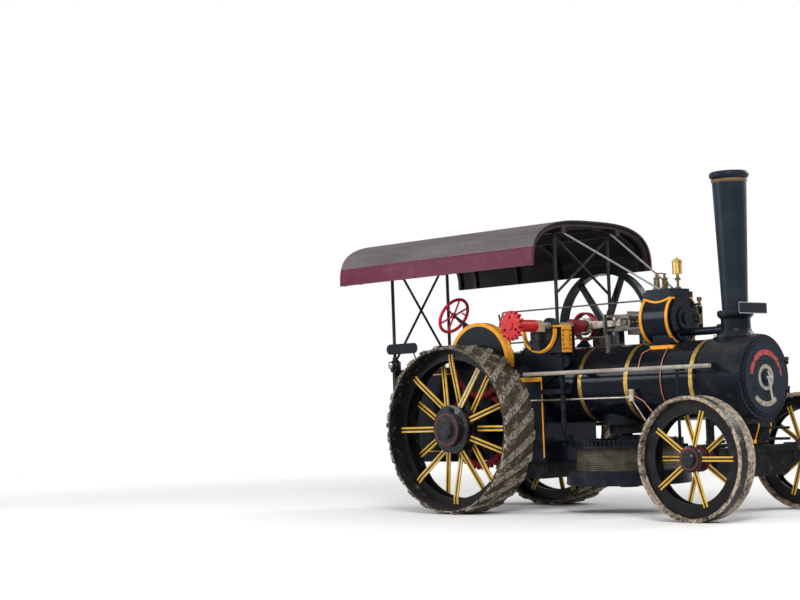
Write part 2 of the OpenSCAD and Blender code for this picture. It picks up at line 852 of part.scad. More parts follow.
module counter_shaft() {
    pinion_end = gear_in + gear_w;
    wheel_in = pinion_end + gap;
    color("#8e1f2c") place() mirror([0, 1, 0]) {
        slab_y(gear_in, pinion_end) translate([counter_x, counter_z])
            rotate(mesh_angle + 180 + 180 / pinion_teeth) gear_outline(pinion_teeth, pinion_pitch);
        slab_y(wheel_in, wheel_in + gear_w) translate([counter_x, counter_z]) difference() {
            gear_outline(counter_gear_teeth, counter_gear_pitch);
            for (a = [0 : 60 : 300]) rotate(a) translate([counter_gear_pitch * 0.6, 0])
                circle(r = 62);
        }
        round_y(70, gear_in, wheel_in + gear_w, counter_x, counter_z);
        round_y(counter_r, -plate_out - 30, wheel_in, counter_x, counter_z);
    }
}

module rear_axle() {
    axle_half = rear_track / 2 + rear_hub_end - cap_t;
    color("#8e1f2c") place() {
        round_y(rear_axle_r, -axle_half, axle_half, 0, rear_axle_z);
        mirror([0, 1, 0]) slab_y(gear_in, gear_in + gear_w) translate([0, rear_axle_z]) {
            rotate(mesh_angle) gear_rim();
            circle(r = rear_axle_r + 50);
            for (a = [0 : 60 : 300]) rotate(a) translate([0, -28])
                square([final_pitch - 60, 56]);
        }
    }
    module gear_rim() {
        difference() {
            gear_outline(final_teeth, final_pitch);
            circle(r = final_pitch - 75);
        }
    }
}

module tender() {
    tank_top = floor_z - 20;
    tank_front = -hornplate_back + 100;
    color("#15181c") place() {
        block([-tender_rear, -plate_out, firebox_bottom], [-hornplate_back, plate_out, tank_top]);
        both() slab_y(plate_out, tender_half) polygon([
            [-tender_rear, firebox_bottom + 60], [-tender_rear + 60, firebox_bottom],
            [-hornplate_back, firebox_bottom + 120], [tank_front, floor_z], [tank_front, tender_top - 60],
            [tank_front - 60, tender_top], [-tender_rear, tender_top]
        ]);
        block([-tender_rear, -plate_out, tank_top], [-tender_rear + tender_t, plate_out, tender_top]);
        block([-bulkhead_back, -plate_out, tank_top], [-bulkhead_back + tender_t, plate_out,
            tender_top - 120]);
        both() difference() {
            round_x(14, -tender_rear, tank_front - 70, tender_half, tender_top);
            round_z(post_r + seat, tender_top - 20, tender_top + 20, -post_rear_back, rear_post_y);
            round_y(guard_r + seat, tender_half, guard_out, counter_x, counter_z);
        }
        round_y(14, -tender_half, tender_half, -tender_rear, tender_top);
    }
    color("#2a2a2a") place() block([-hornplate_back, -hornplate_in, tank_top],
        [firebox_rear, hornplate_in, floor_z]);
}

module drawbar() {
    bar_x = -tender_rear - 130;
    bar_z = firebox_bottom + 90;
    color("#1b1e22") place() difference() {
        union() {
            block([-tender_rear - 20, -160, bar_z - 80], [-tender_rear, 160, bar_z + 80]);
            for (z = [-58, 34]) {
                block([bar_x, -55, bar_z + z], [-tender_rear - 20, 55, bar_z + z + 24]);
                round_z(55, bar_z + z, bar_z + z + 24, bar_x, 0);
            }
        }
        round_z(draw_hole_r, bar_z - 80, bar_z + 80, bar_x, 0);
    }
}

module perch_web() {
    slab_y(-perch_half, perch_half) polygon([
        [perch_rear, boiler_z - smokebox_r + 60],
        [wheelbase - 130, perch_low + perch_foot_t],
        [wheelbase + 110, perch_low + perch_foot_t],
        [perch_front, boiler_z - smokebox_r - 60],
        [perch_front, boiler_z - smokebox_r + 60]
    ]);
    round_z(perch_foot_r, perch_low, perch_low + perch_foot_t, wheelbase, 0);
}

module perch_bracket() {
    color("#15181c") place() difference() {
        union() {
            perch_web();
            block([perch_rear - 60, -perch_half - 60, boiler_z - smokebox_r - 25],
                [perch_front, perch_half + 60, boiler_z - smokebox_r + 40]);
        }
        barrel_cut();
        round_z(king_r + run_fit, perch_low - over, perch_low + 130, wheelbase, 0);
    }
}

module tow_fork() {
    fork_in = wheelbase + 118;
    root_out = max(fork_in + 40, perch_front + 2);
    color("#2b2d30") place() difference() {
        union() {
            for (z = fork_z) {
                block([fork_in, -50, z], [tow_x, 50, z + fork_t]);
                round_z(50, z, z + fork_t, tow_x, 0);
            }
            block([fork_in, -70, fork_z[0]], [root_out, 70, fork_z[1] + fork_t]);
        }
        perch_web();
        round_z(tow_hole_r, fork_z[0] - over, fork_z[1] + fork_t + over, tow_x, 0);
    }
}

module drum_stud() {
    plate_z = drum_top + 60;
    boss_r = 190;
    seat_r = 260;
    color("#1b1e22") place() {
        difference() {
            union() {
                round_z(boss_r, plate_z, boiler_z, drum_x, 0);
                round_z(seat_r, boiler_z - barrel_r - 25, boiler_z, drum_x, 0);
            }
            barrel_cut();
        }
        round_z(stud_pin_r, drum_z - 40, plate_z + 20, drum_x, 0);
        round_z(stud_pin_r + 45, drum_z - 40, drum_z - seat, drum_x, 0);
    }
}

module winding_drum() {
    gear_z = drum_top - drum_gear_w;
    color("#24262c") place() translate([drum_x, 0, 0]) difference() {
        union() {
            rotate_extrude() polygon([
                [0, drum_z], [drum_r - 10, drum_z], [drum_r, drum_z + 12], [drum_r - 12, drum_z + skirt_h],
                [drum_core_r, drum_z + skirt_h], [drum_core_r, gear_z - 22], [drum_r - 70, gear_z - 22],
                [drum_r - 70, gear_z], [150, gear_z], [150, drum_top + 40], [0, drum_top + 40]
            ]);
            slab_z(gear_z, drum_top) difference() {
                gear_outline(drum_gear_teeth, drum_gear_pitch);
                circle(r = drum_gear_pitch - 70);
            }
            for (a = [0 : 60 : 300]) rotate(a) block([140, -30, gear_z],
                [drum_gear_pitch - 60, 30, gear_z + 36]);
        }
        round_z(stud_pin_r + run_fit, drum_z - over, drum_top + 50, 0, 0);
    }
}

// Rope laid on the drum in rows
module winding_rope() {
    low = drum_z + skirt_h;
    high = drum_top - drum_gear_w - 22;
    rows = floor((high - low) / (2 * rope_r));
    step = (high - low) / rows;
    color("#5d5a48") place() translate([drum_x, 0, 0]) rotate_extrude() polygon([
        [drum_core_r, low],
        for (i = [0 : rows - 1]) for (a = [-60 : 40 : 20]) [
            drum_core_r + rope_depth + rope_r * cos(a),
            low + (i + 0.5) * step + step / 2 * sin(a) / sin(60)
        ],
        [drum_core_r + rope_depth + rope_r * cos(60), high],
        [drum_core_r, high]
    ]);
}

module drive_shaft() {
    bevel_z = crank_z - 120;
    color("#6e7174") place() {
        round_z(shaft_r, shaft_gear_z - 60, bevel_z, shaft_x, -shaft_y);
        round_z(shaft_r + 26, box_low - 40, box_low, shaft_x, -shaft_y);
        translate([shaft_x, -shaft_y, shaft_gear_z]) linear_extrude(drum_gear_w)
            gear_outline(shaft_teeth, shaft_pitch);
        translate([shaft_x, -shaft_y, bevel_z - 45]) rotate_extrude() polygon([
            [0, 0], [54, 0], [54, 12], [34, 45], [0, 45]
        ]);
    }
    color("#1b1e22") place() difference() {
        block([firebox_front, -shaft_y - shaft_r - 18, boiler_z - 90], [shaft_x + 40, -barrel_r + 90,
            boiler_z - 40]);
        barrel_cut();
        round_z(shaft_r, boiler_z - 100, boiler_z, shaft_x, -shaft_y);
    }
}

module steering_shaft() {
    box_h = 40;
    strut_x = -hornplate_back + 40;
    color("#b9b4a6") place() round_x(steer_rod_r, steer_rod_rear, steer_rod_front, -steer_y,
        steer_rod_z);
    color("#1b1e22") place() {
        block([steer_rod_rear, -steer_y, steer_rod_z - 26], [steer_rod_rear + 50, -plate_out,
            steer_rod_z + 26]);
        round_z(16, cross_z, steer_rod_z, steer_down_x, -steer_y);
        round_y(16, -steer_y, 30, steer_down_x, cross_z);
        for (z = [cross_z, steer_rod_z])
            block([steer_down_x - box_h, -steer_y - 8, z - box_h], [steer_down_x + box_h,
                -steer_y + 2 * box_h, z + box_h]);
        difference() {
            union() {
                block([steer_down_x - 60, -60, cross_z - 50], [steer_down_x + 100, 60, cross_z + 50]);
                block([steer_down_x - 60, -50, cross_z], [steer_down_x - 25, 50, boiler_z - smokebox_r]);
                block([steer_down_x - 60, -50, boiler_z - smokebox_r - 40], [steer_down_x + 60, 50,
                    boiler_z - smokebox_r + 40]);
            }
            round_z(quadrant_r + gap, beam_top - gap, beam_top + plate_t + gap, wheelbase, 0);
            barrel_cut();
        }
        for (x = [steer_rod_front - 60, crank_x + 480]) difference() {
            block([x - 20, -steer_y - 8, steer_rod_z - 30], [x + 20, -300, steer_rod_z + 30]);
            barrel_cut();
        }
    }
    color("#1b1e22") place() {
        bar([column_x, -hand_y, column_z], [hand_x, -hand_y, hand_z], column_r);
        block([column_x - 50, -hornplate_in, column_z - 110], [column_x + 50, -hand_y + 26,
            column_z + 30]);
        block([strut_x - 20, -hornplate_in, counter_z - 130], [strut_x + 20, -hornplate_in + 20,
            hand_z - (strut_x - hand_x) * tan(hand_slope)]);
    }
}

module steering_wheel() {
    rim_r = 19;
    hub_r = 32;
    color("#a5152f") place() translate([hand_x, -hand_y, hand_z]) rotate([0, hand_slope - 90, 0]) {
        rotate_extrude() translate([hand_wheel_r - rim_r, 0]) circle(r = rim_r);
        difference() {
            union() {
                round_z(hub_r, -18, 22, 0, 0);
                for (a = [0 : 60 : 300]) rotate([0, 90, a]) cylinder(r = 11, h = hand_wheel_r - rim_r);
            }
            round_z(column_r, -30, 0, 0, 0);
        }
        round_z(10, 0, rim_r + 60, 0, hand_wheel_r - rim_r);
    }
}

module feed_pipe() {
    pipe_y = plate_out + 18;
    pipe_z = boiler_z - 154;
    valve_x = cyl_rear + 5;
    bend = [valve_x + 120, pipe_y - 60, pipe_z - 250];
    color("#a98f57") place() mirror([0, 1, 0]) {
        round_x(11, firebox_rear + 500, valve_x, pipe_y, pipe_z);
        round_y(24, plate_out, pipe_y + 14, firebox_rear + 500, pipe_z);
        round_z(34, pipe_z - 40, pipe_z + 70, valve_x, pipe_y);
        round_z(40, pipe_z + 70, pipe_z + 84, valve_x, pipe_y);
        round_x(19, valve_x - 70, valve_x - 20, pipe_y, pipe_z);
        difference() {
            round_y(24, 300, pipe_y, valve_x, pipe_z + 30);
            barrel_cut();
        }
        difference() {
            union() {
                bar([valve_x, pipe_y, pipe_z - 30], bend, 8);
                translate(bend) sphere(r = 10);
                bar(bend, [bend[0], 200, boiler_z - barrel_r + 70], 8);
            }
            barrel_cut();
        }
    }
}

module controls() {
    lever_x = firebox_rear - 60;
    rod_z = crank_z + 215;
    quad_y = 250;
    lever_h = 260;
    color("#9b9da0") place() {
        round_x(9, lever_x, cyl_rear, -120, rod_z);
        bar([lever_x, -120, rod_z], [lever_x - 110, -120, rod_z - lever_h], 10);
        round_x(9, lever_x + 120, bracket_x + 130, -235, crank_z - 150);
        bar([lever_x + 120, -235, crank_z - 220], [lever_x + 40, -235, crank_z + 190], 11);
    }
    color("#1b1e22") place() {
        difference() {
            union() {
                block([lever_x + 60, -140, boiler_z + 300], [lever_x + 90, -100, rod_z + 12]);
                block([lever_x + 60, -140, boiler_z + 300], [firebox_rear + 60, -100, boiler_z + 440]);
            }
            round_x(hornplate_in, firebox_rear, firebox_front, 0, boiler_z);
        }
        difference() {
            block([lever_x + 100, -275, boiler_z + 200], [firebox_rear + 80, -222, crank_z - 200]);
            round_x(hornplate_in, firebox_rear, firebox_front, 0, boiler_z);
        }
        difference() {
            block([bracket_x + 110, -255, boiler_z + 250], [bracket_x + 150, -215, crank_z - 136]);
            barrel_cut();
        }
    }
}

module canopy_outline(half, rise) {
    polygon([for (a = [0 : 6 : 180]) canopy_point(half, rise, a)]);
}

// The same outline carried on below its edge, to hollow another with
module canopy_hollow(half, rise) {
    canopy_outline(half, rise);
    translate([-half, -over]) square([2 * half, over]);
}

module canopy_shell() {
    slab_x(-canopy_rear, canopy_front) translate([0, canopy_low]) difference() {
        canopy_outline(canopy_half, canopy_rise);
        canopy_hollow(canopy_half - canopy_t, canopy_rise - canopy_t);
    }
}

module canopy_roof() {
    color("#6d5d55") place() intersection() {
        canopy_shell();
        block([-canopy_rear - over, -canopy_half - over, valance_top], [canopy_front + over,
            canopy_half + over, canopy_low + canopy_rise + over]);
    }
}

module canopy_valance() {
    color("#6f2438") place() intersection() {
        canopy_shell();
        block([-canopy_rear - over, -canopy_half - over, canopy_low - over], [canopy_front + over,
            canopy_half + over, valance_top]);
    }
}

module canopy_beams() {
    both() block([-canopy_rear + 25, post_y - 25, beam_z - 60], [canopy_front - 25,
        rear_post_y + 25, beam_z + 6]);
}

module canopy_frame() {
    in_half = canopy_half - canopy_t;
    in_rise = canopy_rise - canopy_t;
    rib_first = 1010;
    rib_step = 670;
    rib_x = [-canopy_rear + 25, -post_rear_back - rib_w / 2, -canopy_rear + rib_first,
        -canopy_rear + rib_first + rib_step, post_front_x - rib_w / 2, canopy_front - 25 - rib_w];
    front_drop = 720;
    rear_drop = 1380;
    color("#2c1f1a") place() {
        for (x = rib_x) slab_x(x, x + rib_w) translate([0, canopy_low]) difference() {
            canopy_outline(in_half, in_rise);
            canopy_hollow(in_half - rib_depth, in_rise - rib_depth);
        }
        canopy_beams();
    }
    color("#15181c") place() {
        posts(post_front_x, post_y, post_foot_z, beam_z, front_drop);
        posts(-post_rear_back, rear_post_y, floor_z + 240, beam_z, rear_drop);
        block([post_front_x - 30, plate_out, post_foot_z - 80], [post_front_x + 30,
            post_y + post_r, post_foot_z]);
        both() block([-post_rear_back - 30, tender_half, floor_z + 190], [-post_rear_back + 30,
            rear_post_y + post_r + 6, floor_z + 260]);
    }
    module posts(x, y, low, high, drop) {
        brace = 15;
        both() round_z(post_r, low, high, x, y);
        bar([x, -y, high - 90], [x, y, high - drop], brace);
        bar([x, y, high - 90], [x, -y, high - drop], brace);
    }
}

module canopy_stays() {
    top = [post_front_x + 40, post_y - 10, beam_z - 15];
    foot = [cyl_front - 190, 135, cyl_top];
    color("#8f9499") place() difference() {
        both() {
            bar(top, foot, 11);
            round_z(24, cyl_top, cyl_top + 16, foot[0], foot[1]);
        }
        canopy_beams();
        block([cyl_rear, -200, crank_z], [cyl_front, 200, cyl_top]);
    }
}

module crankshaft() {
    web_end = web_in + web_t;
    color("#8b8d90") place() {
        round_y(crank_r, web_in, crank_left, crank_x, crank_z);
        round_y(crank_r, -crank_right, -web_in, crank_x, crank_z);
        round_y(pin_r, -web_in - 5, web_in + 5, crank_x + crank_throw, crank_z);
        both() slab_y(web_in, web_end) {
            translate([crank_x, crank_z - web_half]) square([crank_throw, 2 * web_half]);
            translate([crank_x + crank_throw, crank_z]) circle(r = web_half);
            translate([crank_x, crank_z]) circle(r = web_half + 20);
        }
        for (y = eccentric_y) round_y(eccentric_r, y, y + eccentric_w, crank_x - eccentric_throw,
            crank_z);
    }
}

module clutch_gear() {
    sleeve_in = outer_bearing + outer_bearing_t + gap;
    slot_in = crank_r + 27;
    color("#d8352e") place() mirror([0, 1, 0]) difference() {
        union() {
            slab_y(clutch_y - clutch_w / 2, clutch_y + clutch_w / 2) translate([crank_x, crank_z])
                gear_outline(clutch_teeth, clutch_pitch);
            round_y(crank_r + 22, sleeve_in, clutch_y, crank_x, crank_z);
        }
        round_y(crank_r, 0, crank_right + over, crank_x, crank_z);
        for (a = [90 : 120 : 330]) slab_y(clutch_y - clutch_w, clutch_y + clutch_w)
            translate([crank_x, crank_z]) rotate(a) translate([slot_in, -14]) square([40, 28]);
    }
}

module flywheel() {
    arm_w = 78;
    mid = flywheel_y + flywheel_w / 2;
    color("#14231f") place() difference() {
        union() {
            slab_y(flywheel_y, flywheel_y + flywheel_w) translate([crank_x, crank_z])
                difference() {
                    circle(r = flywheel_r);
                    circle(r = flywheel_r - flywheel_rim_t);
                }
            round_y(crank_r + 60, mid - 53, mid + 53, crank_x, crank_z);
            for (a = [5 : 360 / flywheel_arms : 364]) slab_y(mid - 24, mid + 24)
                translate([crank_x, crank_z]) rotate(a) polygon([
                    [crank_r + 20, -arm_w / 2], [flywheel_r - flywheel_rim_t + 4, -arm_w / 2 + 10],
                    [flywheel_r - flywheel_rim_t + 4, arm_w / 2 - 10], [crank_r + 20, arm_w / 2]
                ]);
        }
        round_y(crank_r, 0, crank_left + over, crank_x, crank_z);
    }
}

module connecting_rod() {
    big_r = 76;
    small_r = 44;
    half_t = 30;
    big_x = crank_x + crank_throw;
    color("#b9bbbd") place() difference() {
        union() {
            round_y(big_r, -half_t, half_t, big_x, crank_z);
            slab_y(-half_t, half_t) translate([big_x - 60, crank_z - big_r - 8])
                square([120, 2 * big_r + 16]);
            slab_y(-18, 18) polygon([
                [big_x + 40, crank_z - 44], [rod_pin_x - 20, crank_z - 26],
                [rod_pin_x - 20, crank_z + 26], [big_x + 40, crank_z + 44]
            ]);
            round_y(small_r, -half_t, half_t, rod_pin_x, crank_z);
        }
        round_y(pin_r + run_fit, -half_t - over, half_t + over, big_x, crank_z);
    }
}

module front_axle() {
    stub_end = front_track / 2 + front_hub_end - cap_t;
    taper = 180;
    color("#15181c") place() {
        slab_x(wheelbase - 48, wheelbase + 48) polygon([
            [-beam_half, beam_top], [-beam_half, front_axle_z - 90],
            [-beam_half + taper, front_axle_z - 225], [beam_half - taper, front_axle_z - 225],
            [beam_half, front_axle_z - 90], [beam_half, beam_top]
        ]);
        block([wheelbase - beam_w / 2, -beam_half, beam_top - 70], [wheelbase + beam_w / 2,
            beam_half, beam_top]);
        both() {
            round_y(stub_r, beam_half - over, stub_end, wheelbase, front_axle_z);
            round_y(stub_r + 24, beam_half - over, stub_shoulder, wheelbase, front_axle_z);
            block([wheelbase - 60, beam_half - 60, front_axle_z - 110], [wheelbase + 60,
                beam_half + 14, beam_top + 14]);
        }
        round_z(king_r, beam_top - over, perch_low + 110, wheelbase, 0);
    }
    color("#2b2d30") place() difference() {
        translate([wheelbase, 0, beam_top]) linear_extrude(plate_t) difference() {
            rotate(180) union() {
                gear_sector(60, quadrant_r - 18);
                circle(r = 120);
            }
            rotate(180) for (a = [-30, 30]) rotate(a) translate([quadrant_r * 0.58, 0])
                circle(r = 84);
        }
        round_z(king_r, beam_top - over, beam_top + plate_t + over, wheelbase, 0);
    }
    module gear_sector(half, pitch) {
        intersection() {
            gear_outline(72, pitch);
            polygon([[0, 0], for (a = [-half : 20 : half]) 2 * pitch * [cos(a), sin(a)]]);
        }
    }
}

// A rim lying on its side, with its outer face up
module rim(r, t, w, tee_depth, plane, tee_t) {
    rotate_extrude() {
        translate([r - t, -w / 2]) square([t, w]);
        for (s = [-1, 1])
            translate([r - t - tee_depth, s > 0 ? plane - tee_t : -plane]) square([tee_depth + 1, tee_t]);
    }
}

module strakes() {
    reach = rear_rim_w / cos(strake_slant) + 2 * strake_w;
    depth = 30;
    intersection() {
        rotate_extrude() translate([rear_rim_r - 1, -rear_rim_w / 2]) square([strake_h + 1, rear_rim_w]);
        for (i = [0 : strake_count - 1]) rotate(i * 360 / strake_count)
            translate([rear_rim_r - depth, 0, 0]) rotate([strake_slant, 0, 0])
                translate([0, -strake_w / 2, -reach / 2]) cube([strake_h + depth + over, strake_w, reach]);
    }
}

// Turns a wheel's outer face to the side, +1 for left and -1 for right
module wheel_place(side, track, x, z) {
    place() translate([x, side * track / 2, z]) rotate([-90 * side, 0, 0]) children();
}

module rear_rim(side) {
    color("#1b1b1d") wheel_place(side, rear_track, 0, rear_axle_z) {
        rim(rear_rim_r, rear_rim_t, rear_rim_w, rear_tee_depth, rear_spoke_plane, 16);
        strakes();
    }
}

// Spokes that cross over from a hub flange to the far T ring, where lean is the hub flange's height
module spokes(count, w, t, plane, lean, in_r, bend_r, out_r) {
    for (i = [0 : count - 1]) {
        rim_z = i % 2 == 0 ? plane : -plane - t;
        hub_z = (i % 2 == 0 ? lean[0] : lean[1]) - t / 2;
        rotate(i * 360 / count) slab_y(-w / 2, w / 2) polygon([
            [in_r, hub_z], [bend_r, rim_z], [out_r, rim_z], [out_r, rim_z + t], [bend_r, rim_z + t],
            [in_r, hub_z + t]
        ]);
    }
}

module rear_spokes(side) {
    tee_in = rear_rim_r - rear_rim_t - rear_tee_depth;
    outer_z = 112;
    inner_z = -62;
    cap_r = rear_hub_r + 48;
    color("#c9992b") wheel_place(side, rear_track, 0, rear_axle_z) difference() {
        union() {
            spokes(rear_spoke_count, rear_spoke_w, rear_spoke_t, rear_spoke_plane,
                [inner_z, outer_z], rear_hub_r - 5, tee_in - 6, tee_in + 62);
            rotate_extrude() polygon([
                [0, -rear_hub_in], [rear_hub_r - 20, -rear_hub_in], [rear_hub_r, -rear_hub_in + 20],
                [rear_hub_r, inner_z - 34], [rear_flange_r, inner_z - 28], [rear_flange_r, inner_z],
                [rear_hub_r, inner_z], [rear_hub_r, outer_z], [rear_flange_r, outer_z],
                [rear_flange_r, outer_z + 28], [cap_r, outer_z + 38], [cap_r, outer_z + 98],
                [rear_hub_r - 40, outer_z + 104], [rear_hub_r - 40, rear_hub_end - 10],
                [rear_hub_r - 52, rear_hub_end], [0, rear_hub_end]
            ]);
            round_z(52, outer_z + 8, outer_z + 78, 0, 205);
        }
        round_z(rear_axle_r + run_fit, -rear_hub_in - over, rear_hub_end - cap_t + seat, 0, 0);
    }
}

module front_rim(side) {
    color("#1b1b1d") wheel_place(side, front_track, wheelbase, front_axle_z)
        rim(front_rim_r, front_rim_t, front_rim_w, front_tee_depth, front_spoke_plane, 12);
}

module front_spokes(side) {
    tee_in = front_rim_r - front_rim_t - front_tee_depth;
    flange_z = front_spoke_plane + front_spoke_t / 2;
    color("#c9992b") wheel_place(side, front_track, wheelbase, front_axle_z) difference() {
        union() {
            spokes(front_spoke_count, front_spoke_w, front_spoke_t, front_spoke_plane,
                [flange_z, -flange_z], front_hub_r - 5, tee_in - 6, tee_in + 46);
            rotate_extrude() polygon([
                [0, -front_hub_in], [front_hub_r - 10, -front_hub_in],
                [front_hub_r, -front_hub_in + 10], [front_hub_r, -flange_z - 20],
                [front_flange_r, -flange_z - 16], [front_flange_r, -flange_z],
                [front_hub_r, -flange_z], [front_hub_r, flange_z], [front_flange_r, flange_z],
                [front_flange_r, flange_z + 18], [front_hub_r + 14, flange_z + 22],
                [front_hub_r + 14, flange_z + 36], [front_hub_r - 20, flange_z + 40],
                [front_hub_r - 20, front_hub_end - 8], [front_hub_r - 28, front_hub_end],
                [0, front_hub_end]
            ]);
        }
        round_z(stub_r + run_fit, -front_hub_in - over, front_hub_end - cap_t + seat, 0, 0);
    }
}

boiler_barrel();
boiler_bands();
firebox();
fire_door();
ash_pan();
smokebox();
smokebox_door();
chimney_saddle();
chimney();
cylinder_block();
cylinder_fittings();
exhaust_pipe();
slide_bars();
crosshead();
valve_gear();
hornplates();
crank_bearings();
horn_box();
gear_guard();
counter_shaft();
rear_axle();
tender();
drawbar();
perch_bracket();
tow_fork();
drum_stud();
drive_shaft();
steering_shaft();
steering_wheel();
feed_pipe();
controls();
canopy_roof();
canopy_valance();
canopy_frame();
canopy_stays();
crankshaft();
clutch_gear();
flywheel();
connecting_rod();
winding_drum();
winding_rope();
front_axle();
rear_rim(-1);  // rear_rim_right
rear_rim(1);  // rear_rim_left
rear_spokes(-1);  // rear_spokes_right
rear_spokes(1);  // rear_spokes_left
front_rim(-1);  // front_rim_right
front_rim(1);  // front_rim_left
front_spokes(-1);  // front_spokes_right
front_spokes(1);  // front_spokes_left
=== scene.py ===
"""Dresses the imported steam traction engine: finishes, small fittings, mud, stage and camera."""

import math

import bmesh
import bpy
from mathutils import Matrix, Vector


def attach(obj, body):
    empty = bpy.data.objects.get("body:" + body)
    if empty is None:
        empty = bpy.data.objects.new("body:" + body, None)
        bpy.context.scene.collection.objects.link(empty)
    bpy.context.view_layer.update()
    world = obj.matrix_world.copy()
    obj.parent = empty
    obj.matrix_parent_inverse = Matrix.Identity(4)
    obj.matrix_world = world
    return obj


bl_info = {
    "name": "Steam Traction Engine",
    "version": (1, 0, 0),
    "blender": (4, 5, 0),
    "location": "View3D > Sidebar > Engine",
    "description": "Dresses a steam traction engine with a winding drum",
    "category": "Object",
}

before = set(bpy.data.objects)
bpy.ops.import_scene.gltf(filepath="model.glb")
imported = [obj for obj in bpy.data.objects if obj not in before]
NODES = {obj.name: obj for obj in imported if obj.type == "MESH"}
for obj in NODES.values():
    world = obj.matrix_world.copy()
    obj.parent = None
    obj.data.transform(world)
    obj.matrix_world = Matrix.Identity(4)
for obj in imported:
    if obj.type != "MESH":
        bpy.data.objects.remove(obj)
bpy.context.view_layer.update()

X, Y, Z = Vector((1, 0, 0)), Vector((0, 1, 0)), Vector((0, 0, 1))

# The rear axle's distance behind the middle of the engine, in metres like all that follows
MIDDLE = 1.1395


def at(x, y, z):
    """A point given from the ground under the rear axle."""
    return Vector((x - MIDDLE, y, z))


def along(x):
    """A place along the engine given from the rear axle."""
    return x - MIDDLE


# Places that the finishes and fittings share
REAR_AXLE = at(0.0, 0.0, 0.95)
FRONT_AXLE = at(3.37, 0.0, 0.617)
CRANK = at(1.08, 0.0, 2.055)
COUNTER = at(0.08, 0.0, 1.69)
DRUM = at(1.75, 0.0, 0.31)
REAR_WHEEL_Y, REAR_TREAD_R, REAR_TREAD_W = 0.83, 0.926, 0.42
FRONT_WHEEL_Y, FRONT_TREAD_R = 0.985, 0.617
BOILER_Z = 1.394
SMOKEBOX_R = 0.44
CHIMNEY_X = 3.23
DOOR_FRONT = along(3.5663)
CYLINDER_REAR, CYLINDER_FRONT = along(2.195), along(2.565)
HORNPLATE_Y, HORN_BOX_FRONT = 0.438, 1.388
TENDER_Y, TENDER_REAR = 0.454, -1.46
PIPE_R = 0.430
CANOPY_MIDDLE, CANOPY_HALF = along(-0.1605), 1.5475
CANOPY_SIDE, CANOPY_LOW, CANOPY_RISE, CANOPY_POWER = 1.04, 2.69, 0.522, 3.0

# Colours that several finishes share
NEAR_BLACK = (0.008, 0.009, 0.012)
SOOT = (0.02, 0.016, 0.012)
GEAR_BLACK = (0.012, 0.011, 0.012)
DULL_STEEL = (0.13, 0.12, 0.11)
# A blue tint on the paints' reflections: a painted reflection of a blue sky
SKY_REFLECTION_TINT = (0.68, 0.85, 1.0, 1.0)


# Node trees

# The two values that a Mix node mixes, as numbers and as colours, by their places
MIX_FLOATS, MIX_COLORS = (2, 3), (6, 7)


def rgba(value):
    if isinstance(value, bpy.types.NodeSocket) or len(value) == 4:
        return value
    return (*value, 1.0)


